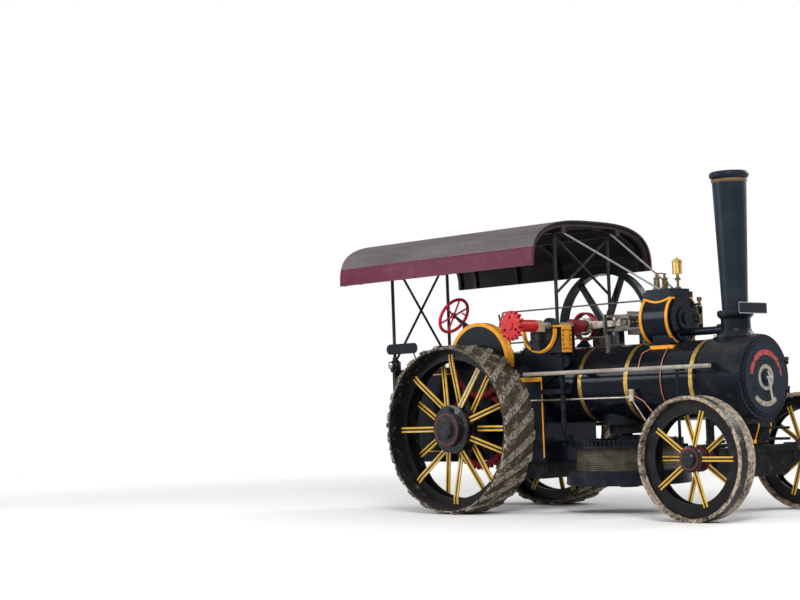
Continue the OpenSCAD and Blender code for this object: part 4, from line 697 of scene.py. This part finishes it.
def make_finishes():
    """Every node's material, by the node's name."""
    p = paints()
    lined = (p.body, p.lining)
    table = {
        "boiler_barrel firebox exhaust_pipe": paint(
            "Gloss Black", p.body, rough=0.14, coat=0.05, scale=6.0),
        "boiler_bands": metal(
            "Band Brass", patchy_pattern((0.42, 0.27, 0.07), (0.58, 0.40, 0.13)), rough=0.4,
            stain=0.45, stain_color=(0.10, 0.06, 0.02)),
        "drum_stud fire_door ash_pan drawbar tow_fork front_axle drive_shaft": paint(
            "Dark Iron", (0.007, 0.008, 0.010), rough=0.5, coat=0.0, dust=0.15, scale=12.0,
            depth=0.003),
        "smokebox chimney_saddle": paint(
            "Smokebox Black", p.smokebox, rough=0.32, coat=0.0, dust=0.1, scale=7.0),
        "smokebox_door": paint(
            "Smokebox Door", door_pattern((0.009, 0.015, 0.024), (0.42, 0.07, 0.065),
                                          (0.38, 0.35, 0.27), (0.42, 0.41, 0.39)),
            rough=0.34, coat=0.0),
        "chimney": paint(
            "Chimney Black", chimney_pattern((0.012, 0.017, 0.025), (0.15, 0.095, 0.05)),
            rough=0.32, coat=0.0, scale=4.0),
        "cylinder_block": paint("Lagging", lagging_pattern(*lined), rough=0.18, coat=0.04),
        "cylinder_fittings": metal(
            "Fitting Bronze", fitting_pattern((0.16, 0.11, 0.06), (0.60, 0.40, 0.15)),
            stain=0.5, stain_color=(0.05, 0.032, 0.015)),
        "slide_bars crosshead": metal(
            "Guide Steel", (0.12, 0.11, 0.10), rough=0.42, stain=0.6, stain_color=SOOT),
        "connecting_rod": metal(
            "Motion Steel", (0.40, 0.365, 0.31), rough=0.42, stain=0.5,
            stain_color=(0.03, 0.022, 0.015)),
        "valve_gear": metal(
            "Valve Steel", disc_pattern(CRANK, 0.165, 0.005, (0.24, 0.012, 0.02), DULL_STEEL),
            rough=0.5, stain=0.5, stain_color=SOOT, metallic=0.3, specular=0.2),
        "crankshaft": metal(
            "Crank Steel", crank_pattern((0.24, 0.22, 0.20), (0.15, 0.006, 0.013), p.clutch),
            rough=0.42, stain=0.4, stain_color=(0.03, 0.02, 0.015), metallic=0.1,
            specular=0.2),
        "controls": metal(
            "Dull Steel", DULL_STEEL, rough=0.5, stain=0.6, stain_color=SOOT, metallic=0.7),
        "hornplates": paint("Plate Black", plate_pattern(*lined)),
        "crank_bearings": paint(
            "Bearing Tan", cap_pattern(NEAR_BLACK, (0.36, 0.26, 0.16)), rough=0.5, coat=0.0,
            dust=0.3, scale=16.0),
        "horn_box": paint("Horn Box", horn_box_pattern(*lined), rough=0.24),
        "gear_guard": paint(
            "Gear Guard", disc_pattern(COUNTER, 0.416, 0.002, (0.006, 0.009, 0.010), p.lining),
            rough=0.24),
        "counter_shaft": gear_finish("Counter Gear", COUNTER, 0.345),
        "rear_axle": gear_finish("Final Gear", REAR_AXLE, 0.385),
        "tender": paint("Tender", tender_pattern(*lined)),
        "perch_bracket": paint("Perch Bracket", bracket_pattern(*lined), rough=0.28, dust=0.2),
        "steering_shaft": paint(
            "Steering Grey", rod_pattern(NEAR_BLACK, p.rod), rough=0.45, coat=0.0, dust=0.15,
            scale=20.0),
        "steering_wheel": paint("Hand Wheel", (0.60, 0.018, 0.050), rough=0.3, coat=0.15),
        "feed_pipe": metal(
            "Pipe Copper", (0.44, 0.38, 0.33), rough=0.42, stain=0.5,
            stain_color=(0.08, 0.06, 0.05)),
        "canopy_roof": canvas_finish(p.canopy),
        # The valance's near-black inside colour is painted shade under the canopy
        "canopy_valance": paint(
            "Valance", valance_pattern(p.valance, (0.010, 0.006, 0.006)), rough=0.45,
            dust=0.12, scale=5.0),
        "canopy_frame": timber_finish(
            (0.006, 0.004, 0.0035), (0.016, 0.010, 0.009), (0.006, 0.008, 0.012)),
        "canopy_stays": paint(
            "Stay Grey", (0.23, 0.24, 0.255), rough=0.4, coat=0.05, dust=0.2, scale=20.0),
        "clutch_gear": paint(
            "Clutch Red", p.clutch, rough=0.3, coat=0.12, dust=0.12, scale=14.0),
        "flywheel": paint(
            "Flywheel Green", (0.003, 0.006, 0.006), rough=0.26, coat=0.0, specular=0.09),
        "winding_drum": paint(
            "Drum Iron", (0.006, 0.008, 0.012), rough=0.38, coat=0.0, dust=0.12, scale=6.0,
            depth=0.003),
        "winding_rope": rope_finish(),
        "rear_rim_right rear_rim_left": rim_finish(
            "Rear Rim", REAR_AXLE, 0.925, 0.86, 9.0, p.mud, (0.38, 0.34, 0.27)),
        "front_rim_right front_rim_left": rim_finish(
            "Front Rim", FRONT_AXLE, FRONT_TREAD_R, 0.70, 6.0, (0.24, 0.185, 0.14),
            (0.47, 0.375, 0.295), FRONT_STRIP),
        "rear_spokes_right rear_spokes_left": wheel_finish(
            "Rear Spokes", REAR_AXLE, 16, 0.272, 0.172, 0.0115),
        "front_spokes_right front_spokes_left": wheel_finish(
            "Front Spokes", FRONT_AXLE, 10, 0.132, 0.104, 0.0085),
    }
    return {name: material for names, material in table.items() for name in names.split()}


class ENGINE_OT_finishes(bpy.types.Operator):
    """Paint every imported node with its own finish"""

    bl_idname = "engine.finishes"
    bl_label = "Paint and Metal"

    def execute(self, context):
        make_paint_group()
        make_mud_group()
        make_metal_group()
        for name, material in make_finishes().items():
            for slot in NODES[name].material_slots:
                slot.material = material
        return {"FINISHED"}


# Stage

SENSOR, LENS = 36.0, 74.897
CAMERA_PLACE = at(13.2334, -14.3335, 1.2395)
CAMERA_YAW, CAMERA_PITCH, CAMERA_ROLL = 136.2888, 3.6179, -1.9974

# Each light's name, place, target, width and the stage value that holds its power
LIGHTS = (
    ("key", (9.0, -9.5, 9.5), (0.2, 0, 1.3), 5.5, "key_power"),
    ("fill", (-6.5, -8.0, 5.0), (-0.4, 0, 1.2), 5.0, "fill_power"),
    ("back", (3.0, 9.0, 7.0), (0.0, 0, 1.6), 5.0, "fill_power"),
)

# Distances from the middle between which the floor fades out
FLOOR_FADE = (5.0, 13.0)


def add_object(name, data):
    obj = bpy.data.objects.new(name, data)
    bpy.context.collection.objects.link(obj)
    return obj


def camera_axes():
    """Right, up and forward of the camera from its three angles in degrees."""
    yaw, pitch, roll = (math.radians(a) for a in (CAMERA_YAW, CAMERA_PITCH, CAMERA_ROLL))
    ahead = Vector((math.cos(pitch) * math.cos(yaw), math.cos(pitch) * math.sin(yaw),
                    math.sin(pitch)))
    level = Vector((math.sin(yaw), -math.cos(yaw), 0.0))
    above = level.cross(ahead)
    right = math.cos(roll) * level + math.sin(roll) * above
    up = -math.sin(roll) * level + math.cos(roll) * above
    return right, up, ahead


def aim(obj, place, right, up, ahead):
    turn = Matrix((right, up, -ahead)).transposed().to_4x4()
    obj.matrix_world = Matrix.Translation(place) @ turn


def soft_light(name, place, target, size, energy):
    light = bpy.data.lights.new(name, "AREA")
    light.shape = "DISK"
    light.size = size
    light.energy = energy
    ahead = (Vector(target) - Vector(place)).normalized()
    right = ahead.cross(Z).normalized()
    aim(add_object(name, light), Vector(place), right, right.cross(ahead), ahead)


def plain_world(strength):
    """An even light whose white backdrop shows to the camera and in reflections."""
    world = bpy.data.worlds.new("Studio")
    world.use_nodes = True
    n = Nodes(world.node_tree)
    world.node_tree.nodes.clear()
    rays = n.add("ShaderNodeLightPath").outputs
    seen = n.most(*(rays["Is %s Ray" % kind] for kind in ("Camera", "Glossy", "Transmission")))
    back = n.add("ShaderNodeBackground")
    back.inputs["Color"].default_value = (1, 1, 1, 1)
    n.link(n.blend(seen, strength, 1.0), back.inputs["Strength"])
    n.link(back.outputs[0], n.add("ShaderNodeOutputWorld").inputs[0])
    return world


def floor_material(color):
    material = bpy.data.materials.new("Floor")
    material.use_nodes = True
    shader = material.node_tree.nodes["Principled BSDF"]
    shader.inputs["Base Color"].default_value = (*color, 1)
    shader.inputs["Roughness"].default_value = 0.9
    shader.inputs["Specular IOR Level"].default_value = 0.1
    n = Nodes(material.node_tree)
    x, y, z = n.xyz(n.place())
    n.link(n.fall(n.radius(x, y, (0.0, 0.0)), *FLOOR_FADE), shader.inputs["Alpha"])
    return material


class ENGINE_OT_stage(bpy.types.Operator):
    """Lay the floor, hang the lights and set the camera"""

    bl_idname = "engine.stage"
    bl_label = "Stage"

    def execute(self, context):
        stage = context.scene.engine_stage
        context.scene.view_settings.view_transform = "Standard"
        half = stage.floor_size / 2
        mesh = bpy.data.meshes.new("floor")
        corners = [(-half, -half, 0), (half, -half, 0), (half, half, 0), (-half, half, 0)]
        mesh.from_pydata(corners, [], [(0, 1, 2, 3)])
        mesh.materials.append(floor_material(stage.floor))
        floor = add_object("floor", mesh)
        context.scene.world = plain_world(stage.sky)
        for name, place, target, size, value in LIGHTS:
            soft_light(name, place, target, size, getattr(stage, value))
        data = bpy.data.cameras.new("camera")
        data.sensor_width = SENSOR
        data.lens = LENS
        data.clip_end = 300.0
        camera = add_object("camera", data)
        aim(camera, CAMERA_PLACE, *camera_axes())
        context.scene.camera = camera
        return {"FINISHED"}


# Small pieces made by node trees


class Plan:
    """Builds one geometry tree, and sets its inputs on modifiers by the sockets' identifiers."""

    def __init__(self, name, inputs):
        self.tree = bpy.data.node_groups.new(name, "GeometryNodeTree")
        self.sockets = add_inputs(self.tree, [
            ("Geometry", "Geometry", None), *inputs, ("Material", "Material", None)])
        self.tree.interface.new_socket("Geometry", in_out="OUTPUT",
                                       socket_type="NodeSocketGeometry")
        self.n = Nodes(self.tree)
        self.given = self.n.add("NodeGroupInput").outputs

    def node(self, kind, inputs, **values):
        """Adds a node with its inputs fed, and gives its outputs."""
        made = self.n.add("GeometryNode" + kind, **values)
        for label, value in inputs.items():
            self.n.feed(made.inputs[label], value)
        return made.outputs

    def facing(self, vector, factor=1.0):
        """A turn that stands Z along a vector."""
        node = self.n.add("FunctionNodeAlignRotationToVector", axis="Z")
        self.n.feed(node.inputs["Factor"], factor)
        self.n.feed(node.inputs["Vector"], vector)
        return node.outputs[0]

    def about_z(self, angle):
        node = self.n.add("ShaderNodeCombineXYZ")
        self.n.feed(node.inputs["Z"], angle)
        return node.outputs[0]

    def random(self, kind, low, high, seed):
        """A random number, or a random vector, between two values for each copy."""
        node = self.n.add("FunctionNodeRandomValue", data_type=kind)
        # The vectors' sockets come first, and the numbers' two places on
        first = 0 if kind == "FLOAT_VECTOR" else 2
        for socket, value in ((first, low), (first + 1, high), ("Seed", seed)):
            self.n.feed(node.inputs[socket], value)
        return node.outputs[first // 2]

    def head(self):
        """A low round head with a smaller top."""
        size = self.given["Head"]
        return self.node("MeshCone", {
            "Vertices": 8, "Radius Top": self.n.times(size, 0.55), "Radius Bottom": size,
            "Depth": self.n.times(size, 0.7)})["Mesh"]

    def end(self, geometry, keep=True):
        """Realizes the copies, gives them the material and joins them to what came in."""
        real = self.node("RealizeInstances", {"Geometry": geometry})[0]
        painted = self.node("SetMaterial", {
            "Geometry": real, "Material": self.given["Material"]})[0]
        join = self.n.add("GeometryNodeJoinGeometry")
        self.n.link(painted, join.inputs[0])
        if keep:
            self.n.link(self.given["Geometry"], join.inputs[0])
        self.n.link(join.outputs[0], self.n.add("NodeGroupOutput").inputs[0])
        return self

    def stack(self, obj, material, **values):
        """Adds this tree to an object, with its inputs set."""
        modifier = obj.modifiers.new(self.tree.name, "NODES")
        modifier.node_group = self.tree
        for label, value in values.items():
            modifier[self.sockets[label]] = tuple(value) if isinstance(value, Vector) else value
        modifier[self.sockets["Material"]] = material


def empty_mesh_object(name, points=(), edges=()):
    mesh = bpy.data.meshes.new(name)
    mesh.from_pydata(list(points), list(edges), [])
    return add_object(name, mesh)


def bake(obj):
    """The evaluated object as a plain mesh, with its modifiers removed."""
    bpy.context.view_layer.update()
    graph = bpy.context.evaluated_depsgraph_get()
    mesh = bpy.data.meshes.new_from_object(obj.evaluated_get(graph))
    obj.modifiers.clear()
    old = obj.data
    obj.data = mesh
    bpy.data.meshes.remove(old)
    mesh.name = obj.name
    if not mesh.polygons:
        raise RuntimeError(obj.name + " came out empty")
    return obj


def ring_plan():
    """Heads round a circle, which lean outward by a share."""
    plan = Plan("Ring of Heads", [
        ("Centre", "Vector", None), ("Facing", "Vector", (0, 0, 1)), ("Radius", "Float", 0.2),
        ("Count", "Int", 12), ("Head", "Float", 0.01), ("Outward", "Float", 0.0),
        ("Phase", "Float", 0.0)])
    given = plan.given
    circle = plan.node("MeshCircle", {"Vertices": given["Count"], "Radius": given["Radius"]})[0]
    place = plan.node("InputPosition", {})[0]
    lean = plan.facing(place, given["Outward"])
    copies = plan.node("InstanceOnPoints", {
        "Points": circle, "Instance": plan.head(), "Rotation": lean})[0]
    spun = plan.node("Transform", {
        "Geometry": copies, "Rotation": plan.about_z(given["Phase"])})[0]
    return plan.end(plan.node("Transform", {
        "Geometry": spun, "Translation": given["Centre"],
        "Rotation": plan.facing(given["Facing"])})[0])


def row_plan():
    """Heads along a line."""
    plan = Plan("Row of Heads", [
        ("Start", "Vector", None), ("Step", "Vector", (0, 0, 0.1)), ("Count", "Int", 6),
        ("Facing", "Vector", (0, -1, 0)), ("Head", "Float", 0.01)])
    given = plan.given
    line = plan.node("MeshLine", {
        "Count": given["Count"], "Start Location": given["Start"], "Offset": given["Step"]})[0]
    return plan.end(plan.node("InstanceOnPoints", {
        "Points": line, "Instance": plan.head(),
        "Rotation": plan.facing(given["Facing"])})[0])


def clod_plan():
    """Flat crumbs of mud scattered over a wheel's tread, which lies round the Y axis."""
    plan = Plan("Mud Clods", [
        ("Centre", "Vector", None), ("Radius", "Float", 0.93), ("Width", "Float", 0.4),
        ("Density", "Float", 1500.0), ("Size", "Float", 0.02), ("Seed", "Int", 3)])
    n, given = plan.n, plan.given
    tread = plan.node("MeshCylinder", {
        "Vertices": TREAD_SIDES, "Radius": given["Radius"], "Depth": given["Width"]},
        fill_type="NONE")["Mesh"]
    spots = plan.node("DistributePointsOnFaces", {
        "Mesh": tread, "Density": given["Density"], "Seed": given["Seed"]})
    crumb = plan.node("MeshIcoSphere", {"Radius": 1.0, "Subdivisions": 1})["Mesh"]
    smallest, largest = (0.7, 0.7, 0.25), (3.3, 2.5, 1.15)
    ends = []
    for share in (smallest, largest):
        scaled = n.add("ShaderNodeVectorMath", operation="SCALE")
        scaled.inputs["Vector"].default_value = share
        n.link(given["Size"], scaled.inputs["Scale"])
        ends.append(scaled.outputs[0])
    size = plan.random("FLOAT_VECTOR", *ends, given["Seed"])
    full_turn, spin_seed = 6.28, 11
    spin = plan.about_z(plan.random("FLOAT", 0.0, full_turn, spin_seed))
    twist = n.add("FunctionNodeRotateRotation", rotation_space="LOCAL")
    n.link(spots["Rotation"], twist.inputs["Rotation"])
    n.link(spin, twist.inputs["Rotate By"])
    copies = plan.node("InstanceOnPoints", {
        "Points": spots["Points"], "Instance": crumb, "Rotation": twist.outputs[0],
        "Scale": size})[0]
    return plan.end(plan.node("Transform", {
        "Geometry": copies, "Rotation": (math.pi / 2, 0, 0),
        "Translation": given["Centre"]})[0])


def pipe_plan():
    """A round pipe along the edges of the mesh that comes in, with its corners cut off."""
    plan = Plan("Pipe", [("Radius", "Float", 0.008), ("Bend", "Float", 0.06)])
    curve = plan.node("MeshToCurve", {"Mesh": plan.given["Geometry"]})[0]
    bent = plan.node("FilletCurve", {
        "Curve": curve, "Radius": plan.given["Bend"], "Limit Radius": True}, mode="POLY")[0]
    ring = plan.node("CurvePrimitiveCircle", {
        "Resolution": 12, "Radius": plan.given["Radius"]})[0]
    tube = plan.node("CurveToMesh", {
        "Curve": bent, "Profile Curve": ring, "Fill Caps": True})[0]
    return plan.end(tube, keep=False)


PLANS = {}
TREAD_SIDES, CLODS_PER_M2 = 96, 1250.0
SIDES = ((-1, "right"), (1, "left"))
RING_INPUTS = ("Centre", "Facing", "Radius", "Count", "Head", "Outward", "Phase")
ROW_INPUTS = ("Start", "Step", "Count", "Facing", "Head")


def fastener_object(name, material, rings=(), rows=()):
    """Heads in rings and rows, each given in the order of the inputs above."""
    obj = empty_mesh_object(name)
    for plan, labels, sets in (("ring", RING_INPUTS, rings), ("row", ROW_INPUTS, rows)):
        for values in sets:
            PLANS[plan].stack(obj, material, **dict(zip(labels, values)))
    return bake(obj)


# Small pieces made as solids


def mesh_piece(name, build, material, smooth=False):
    """A piece from a bmesh that the build function fills, with outward normals."""
    bm = bmesh.new()
    build(bm)
    bmesh.ops.recalc_face_normals(bm, faces=bm.faces)
    mesh = bpy.data.meshes.new(name)
    bm.to_mesh(mesh)
    bm.free()
    for face in mesh.polygons:
        face.use_smooth = smooth
    mesh.materials.append(material)
    return add_object(name, mesh)


def loft(bm, loops):
    """Closes a solid through equal loops of points, from the first to the last."""
    made = [[bm.verts.new(point) for point in loop] for loop in loops]
    size = len(made[0])
    for low, high in zip(made, made[1:]):
        for i in range(size):
            j = (i + 1) % size
            bm.faces.new((low[i], low[j], high[j], high[i]))
    bm.faces.new(reversed(made[0]))
    bm.faces.new(made[-1])


def turned(bm, place, axis, profile, sides=28):
    """Turns rows of (along, radius) about an axis through a place."""
    axis = Vector(axis).normalized()
    across = axis.orthogonal().normalized()
    up = axis.cross(across)
    angles = [2 * math.pi * i / sides for i in range(sides)]
    spokes = [math.cos(a) * across + math.sin(a) * up for a in angles]
    loft(bm, [[place + axis * way + radius * spoke for spoke in spokes]
              for way, radius in profile])


CORNER_STEPS = 5
OUTLINE_POINTS = 4 * (CORNER_STEPS + 1)


def rounded_outline(width, height, corner):
    points = []
    for quarter, (sx, sy) in enumerate(((1, 1), (-1, 1), (-1, -1), (1, -1))):
        for i in range(CORNER_STEPS + 1):
            a = math.pi / 2 * (quarter + i / CORNER_STEPS)
            points.append((sx * (width / 2 - corner) + corner * math.cos(a),
                           sy * (height / 2 - corner) + corner * math.sin(a)))
    return points


def blank_plate(bm, centre, right, width, height, corner, thick, border):
    """An upright blank plate with a raised border; its face looks along right x up."""
    out = right.cross(Z)
    recess = 0.003

    def loop(inset, depth):
        shape = rounded_outline(width - 2 * inset, height - 2 * inset,
                                max(corner - inset, 0.002))
        return [centre + right * u + Z * v + out * depth for u, v in shape]

    loft(bm, [loop(0, 0), loop(0, thick), loop(border, thick), loop(border, thick - recess)])


def bar_piece(bm, start, end, half):
    """A round bar with chamfered ends between two places."""
    way = end - start
    chamfer = half * 0.2
    turned(bm, start, way, [
        (0.0, half - chamfer), (chamfer, half), (way.length - chamfer, half),
        (way.length, half - chamfer)], sides=12)


class ENGINE_OT_bolts(bpy.types.Operator):
    """Rivet and bolt the plates, covers, wheels and drum"""

    bl_idname = "engine.bolts"
    bl_label = "Rivets and Bolts"

    def execute(self, context):
        PLANS["ring"], PLANS["row"] = ring_plan(), row_plan()
        rivet, bolt = fittings().rivet, fittings().bolt
        small_rivet, small_bolt = rivet * 0.8, bolt * 0.8
        dark = paint("Bolt Black", (0.012, 0.013, 0.016), rough=0.35)
        cover = Vector((CYLINDER_FRONT, 0, CRANK.z))
        rings = [
            (cover + X * 0.026, X, 0.215, 18, bolt, 0, 0.1),
            (cover + X * 0.044, X, 0.105, 8, bolt * 0.9, 0, 0.2),
            (at(3.06, 0, BOILER_Z), X, SMOKEBOX_R, 60, rivet, 1, 0),
            (at(3.50, 0, BOILER_Z), X, SMOKEBOX_R, 60, rivet, 1, 0),
            (at(3.54, 0, BOILER_Z), X, 0.416, 44, small_rivet, 0, 0),
            (at(CHIMNEY_X, 0, 2.090), Z, 0.163, 14, small_bolt, 0, 0.1),
            (at(CHIMNEY_X, 0, 1.838), Z, 0.222, 22, rivet, 0, 0),
        ]
        rows = []
        plate_step, tender_step = 0.075, 0.062
        for side, word in SIDES:
            face = Y * side
            plate, tender = side * HORNPLATE_Y, side * TENDER_Y
            rows += [
                (at(1.395, plate, 1.72), Z * 0.055, 6, face, rivet),
                (at(0.985, plate, 1.44), Vector((0.07, 0, 0.0405)), 6, face, rivet),
                (at(0.18, plate, 0.60), X * plate_step, 11, face, rivet),
                (at(0.58, plate, 1.76), Vector((0.05, 0, 0.035)), 5, face, rivet),
                (at(-1.435, tender, 0.68), Z * tender_step, 15, face, rivet),
                (at(-0.30, tender, 1.07), Z * tender_step, 9, face, rivet),
                (at(-1.37, tender, 1.045), X * tender_step, 18, face, rivet),
                (at(-0.85, tender, 1.11), Z * tender_step, 8, face, rivet),
            ]
        rows += [(at(TENDER_REAR, -0.40, z), Y * 0.0615, 14, -X, rivet)
                 for z in (0.62, 1.045, 1.60)]
        rows += [(at(HORN_BOX_FRONT, y, 1.79), Z * 0.05, 5, X, small_rivet)
                 for y in (-0.457, -0.587)]
        rows += [(at(2.24, y, 2.345), X * 0.058, 6, Z, small_bolt) for y in (-0.1704, 0.1704)]
        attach(fastener_object("chassis_bolts", dark, rings, rows), "chassis")
        door = [(at(3.5523, 0, BOILER_Z), X, 0.379, 40, small_rivet, 0, 0.05)]
        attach(fastener_object("door_rivets", dark, door), "smokebox_door")
        drum = [(DRUM + Z * 0.15, Z, 0.62, 30, bolt, 0, 0),
                (DRUM + Z * 0.48, Z, 0.56, 24, small_bolt, 0, 0)]
        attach(fastener_object("drum_bolts", dark, drum), "drum")
        for side, word in SIDES:
            face = Y * side
            hub = REAR_AXLE + face * REAR_WHEEL_Y
            spoke = hub + face * 0.094
            rings = [(hub + face * 0.140, face, 0.242, 24, rivet, 0, 0.05),
                     (hub + face * 0.214, face, 0.150, 8, small_rivet, 0, 0),
                     (spoke, face, 0.772, 8, rivet, 0, 0), (spoke, face, 0.812, 8, rivet, 0, 0)]
            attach(fastener_object("rear_rivets_" + word, dark, rings), "rear_wheel_" + word)
            hub = FRONT_AXLE + face * FRONT_WHEEL_Y
            spoke = hub + face * 0.072
            rings = [(hub + face * 0.084, face, 0.119, 15, small_rivet, 0, 0.1),
                     (spoke, face, 0.462, 5, rivet, 0, 0), (spoke, face, 0.484, 5, rivet, 0, 0)]
            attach(fastener_object("front_rivets_" + word, dark, rings), "front_wheel_" + word)
        return {"FINISHED"}


def dried_mud():
    f = Finish("Dried Mud", specular=0.1)
    n = f.n
    mud = paints().mud
    patch = n.noise(f.vector, 7.0, 4.0, 0.6)
    crumb = n.noise(f.vector, 55.0, 5.0, 0.6)
    # The clods are dark: partly the mud's own colour, partly painted shade in the gaps between the
    # strakes
    dark = n.mix(n.remap(crumb, 0.35, 0.65), [c * 0.45 for c in mud], [c * 1.3 for c in mud])
    pale = n.times(n.remap(patch, 0.52, 0.60), n.remap(crumb, 0.40, 0.6))
    return f.end(n.mix(pale, dark, (0.34, 0.26, 0.18)), 0.92, crumb, 0.004, 0.8)


class ENGINE_OT_mud(bpy.types.Operator):
    """Pack mud between the strakes of the rear wheels"""

    bl_idname = "engine.mud"
    bl_label = "Mud"

    def execute(self, context):
        PLANS["clods"] = clod_plan()
        material = dried_mud()
        for side, word in SIDES:
            obj = empty_mesh_object("tread_mud_" + word)
            PLANS["clods"].stack(
                obj, material, Centre=REAR_AXLE + Y * side * REAR_WHEEL_Y,
                Radius=REAR_TREAD_R, Width=REAR_TREAD_W, Density=CLODS_PER_M2,
                Size=fittings().clod, Seed=5 + side)
            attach(bake(obj), "rear_wheel_" + word)
        return {"FINISHED"}


def boiler_pipe(x, top_x, low):
    """A pipe from the cylinder's foot round the boiler's right side, down to a height."""
    bends, drift = 8, 0.02
    start = math.acos(0.30 / PIPE_R)
    stop = math.asin((low - BOILER_Z) / PIPE_R)
    points = [at(top_x, -0.25, 1.745)]
    for i in range(bends + 1):
        a = start + (stop - start) * i / bends
        points.append(at(x + drift * i / bends, -PIPE_R * math.cos(a),
                         BOILER_Z + PIPE_R * math.sin(a)))
    return points


class ENGINE_OT_pipes(bpy.types.Operator):
    """Lay the thin oil and drain pipes on the boiler's side"""

    bl_idname = "engine.pipes"
    bl_label = "Small Pipes"

    def execute(self, context):
        PLANS["pipe"] = pipe_plan()
        copper = metal("Small Copper", (0.42, 0.17, 0.11), rough=0.4, stain=0.5,
                       stain_color=(0.10, 0.05, 0.04))
        drain = [at(2.25, -0.47, 1.25), at(2.36, -0.475, 1.20), at(2.46, -0.46, 1.08),
                 at(2.50, -0.38, 1.02)]
        runs = [boiler_pipe(2.24, 2.33, 1.55), boiler_pipe(2.55, 2.55, 1.06), drain]
        for i, points in enumerate(runs):
            edges = [(j, j + 1) for j in range(len(points) - 1)]
            obj = empty_mesh_object("copper_pipe_%d" % (i + 1), points, edges)
            PLANS["pipe"].stack(obj, copper, Radius=0.007, Bend=0.03)
            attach(bake(obj), "chassis")
        return {"FINISHED"}


class ENGINE_OT_plates(bpy.types.Operator):
    """Hang the blank number plate and the blank name plate"""

    bl_idname = "engine.plates"
    bl_label = "Blank Plates"

    def execute(self, context):
        border = fittings().plate_border
        dark = paint("Plate Face", NEAR_BLACK, rough=0.3)
        edge = metal("Plate Edge", (0.50, 0.50, 0.48), rough=0.35)

        def number(bm):
            blank_plate(bm, at(3.418, 0.035, 2.11), Y, 0.50, 0.115, 0.012, 0.008, border)
            for y in (-0.08, 0.11):
                bar_piece(bm, at(3.37, y, 2.078), at(3.420, y, 2.078), 0.009)

        def name(bm):
            blank_plate(bm, at(-1.215, -0.512, 1.915), X, 0.53, 0.125, 0.06, 0.010,
                        border * 1.3)
            bar_piece(bm, at(-1.388, -0.470, 1.94), at(-1.388, -0.512, 1.94), 0.010)
            bar_piece(bm, at(-1.06, -0.506, 1.93), at(-0.98, -0.462, 1.66), 0.008)

        for label, build, rim in (("number_plate", number, edge), ("name_plate", name, dark)):
            piece = mesh_piece(label, build, dark)
            piece.data.materials.append(rim)
            for face in list(piece.data.polygons)[OUTLINE_POINTS:3 * OUTLINE_POINTS]:
                face.material_index = 1
            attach(piece, "chassis")
        return {"FINISHED"}


class ENGINE_OT_lamp(bpy.types.Operator):
    """Hang the paraffin lamp by the rear post"""

    bl_idname = "engine.lamp"
    bl_label = "Lamp"

    def execute(self, context):
        tin = paint("Lamp Tin", (0.010, 0.011, 0.014), rough=0.3)
        glass = metal("Lamp Lens", (0.30, 0.30, 0.32), rough=0.12, stain=0.2)
        place = at(-1.31, -0.54, 1.72)

        def body(bm):
            turned(bm, place - Z * 0.085, Z, [
                (0.0, 0.050), (0.012, 0.064), (0.12, 0.064), (0.135, 0.050),
                (0.150, 0.034), (0.165, 0.034), (0.176, 0.042), (0.184, 0.020)])
            turned(bm, place - Y * 0.052, -Y, [(0.0, 0.046), (0.026, 0.050), (0.030, 0.044)])
            bar_piece(bm, place + Vector((0.02, 0.06, 0.03)), at(-1.388, -0.474, 1.80), 0.010)

        def lens(bm):
            turned(bm, place - Y * 0.083, -Y, [
                (0.0, 0.040), (0.006, 0.036), (0.011, 0.024), (0.013, 0.008)])

        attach(mesh_piece("lamp_body", body, tin, smooth=True), "chassis")
        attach(mesh_piece("lamp_lens", lens, glass, smooth=True), "chassis")
        return {"FINISHED"}


# Registration

STEPS = (
    ENGINE_OT_stage,
    ENGINE_OT_finishes,
    ENGINE_OT_bolts,
    ENGINE_OT_mud,
    ENGINE_OT_pipes,
    ENGINE_OT_plates,
    ENGINE_OT_lamp,
)
VALUES = {"engine_paints": EnginePaints, "engine_fittings": EngineFittings,
          "engine_stage": EngineStage}


class ENGINE_PT_panel(bpy.types.Panel):
    """The steps that dress the engine, in their order"""

    bl_label = "Steam Traction Engine"
    bl_idname = "ENGINE_PT_panel"
    bl_space_type = "VIEW_3D"
    bl_region_type = "UI"
    bl_category = "Engine"

    def draw(self, context):
        for step in STEPS:
            self.layout.operator(step.bl_idname, text=step.bl_label)
        for group_name in VALUES:
            box = self.layout.box()
            values = getattr(context.scene, group_name)
            for name in values.__annotations__:
                box.prop(values, name)


CLASSES = (*VALUES.values(), *STEPS, ENGINE_PT_panel)


def register():
    for cls in CLASSES:
        bpy.utils.register_class(cls)
    for name, cls in VALUES.items():
        setattr(bpy.types.Scene, name, bpy.props.PointerProperty(type=cls))


def unregister():
    for name in VALUES:
        delattr(bpy.types.Scene, name)
    for cls in reversed(CLASSES):
        bpy.utils.unregister_class(cls)


def main():
    register()
    for step in STEPS:
        family, name = step.bl_idname.split(".")
        getattr(getattr(bpy.ops, family), name)()
    bpy.context.view_layer.update()


if __name__ == "__main__":
    main()
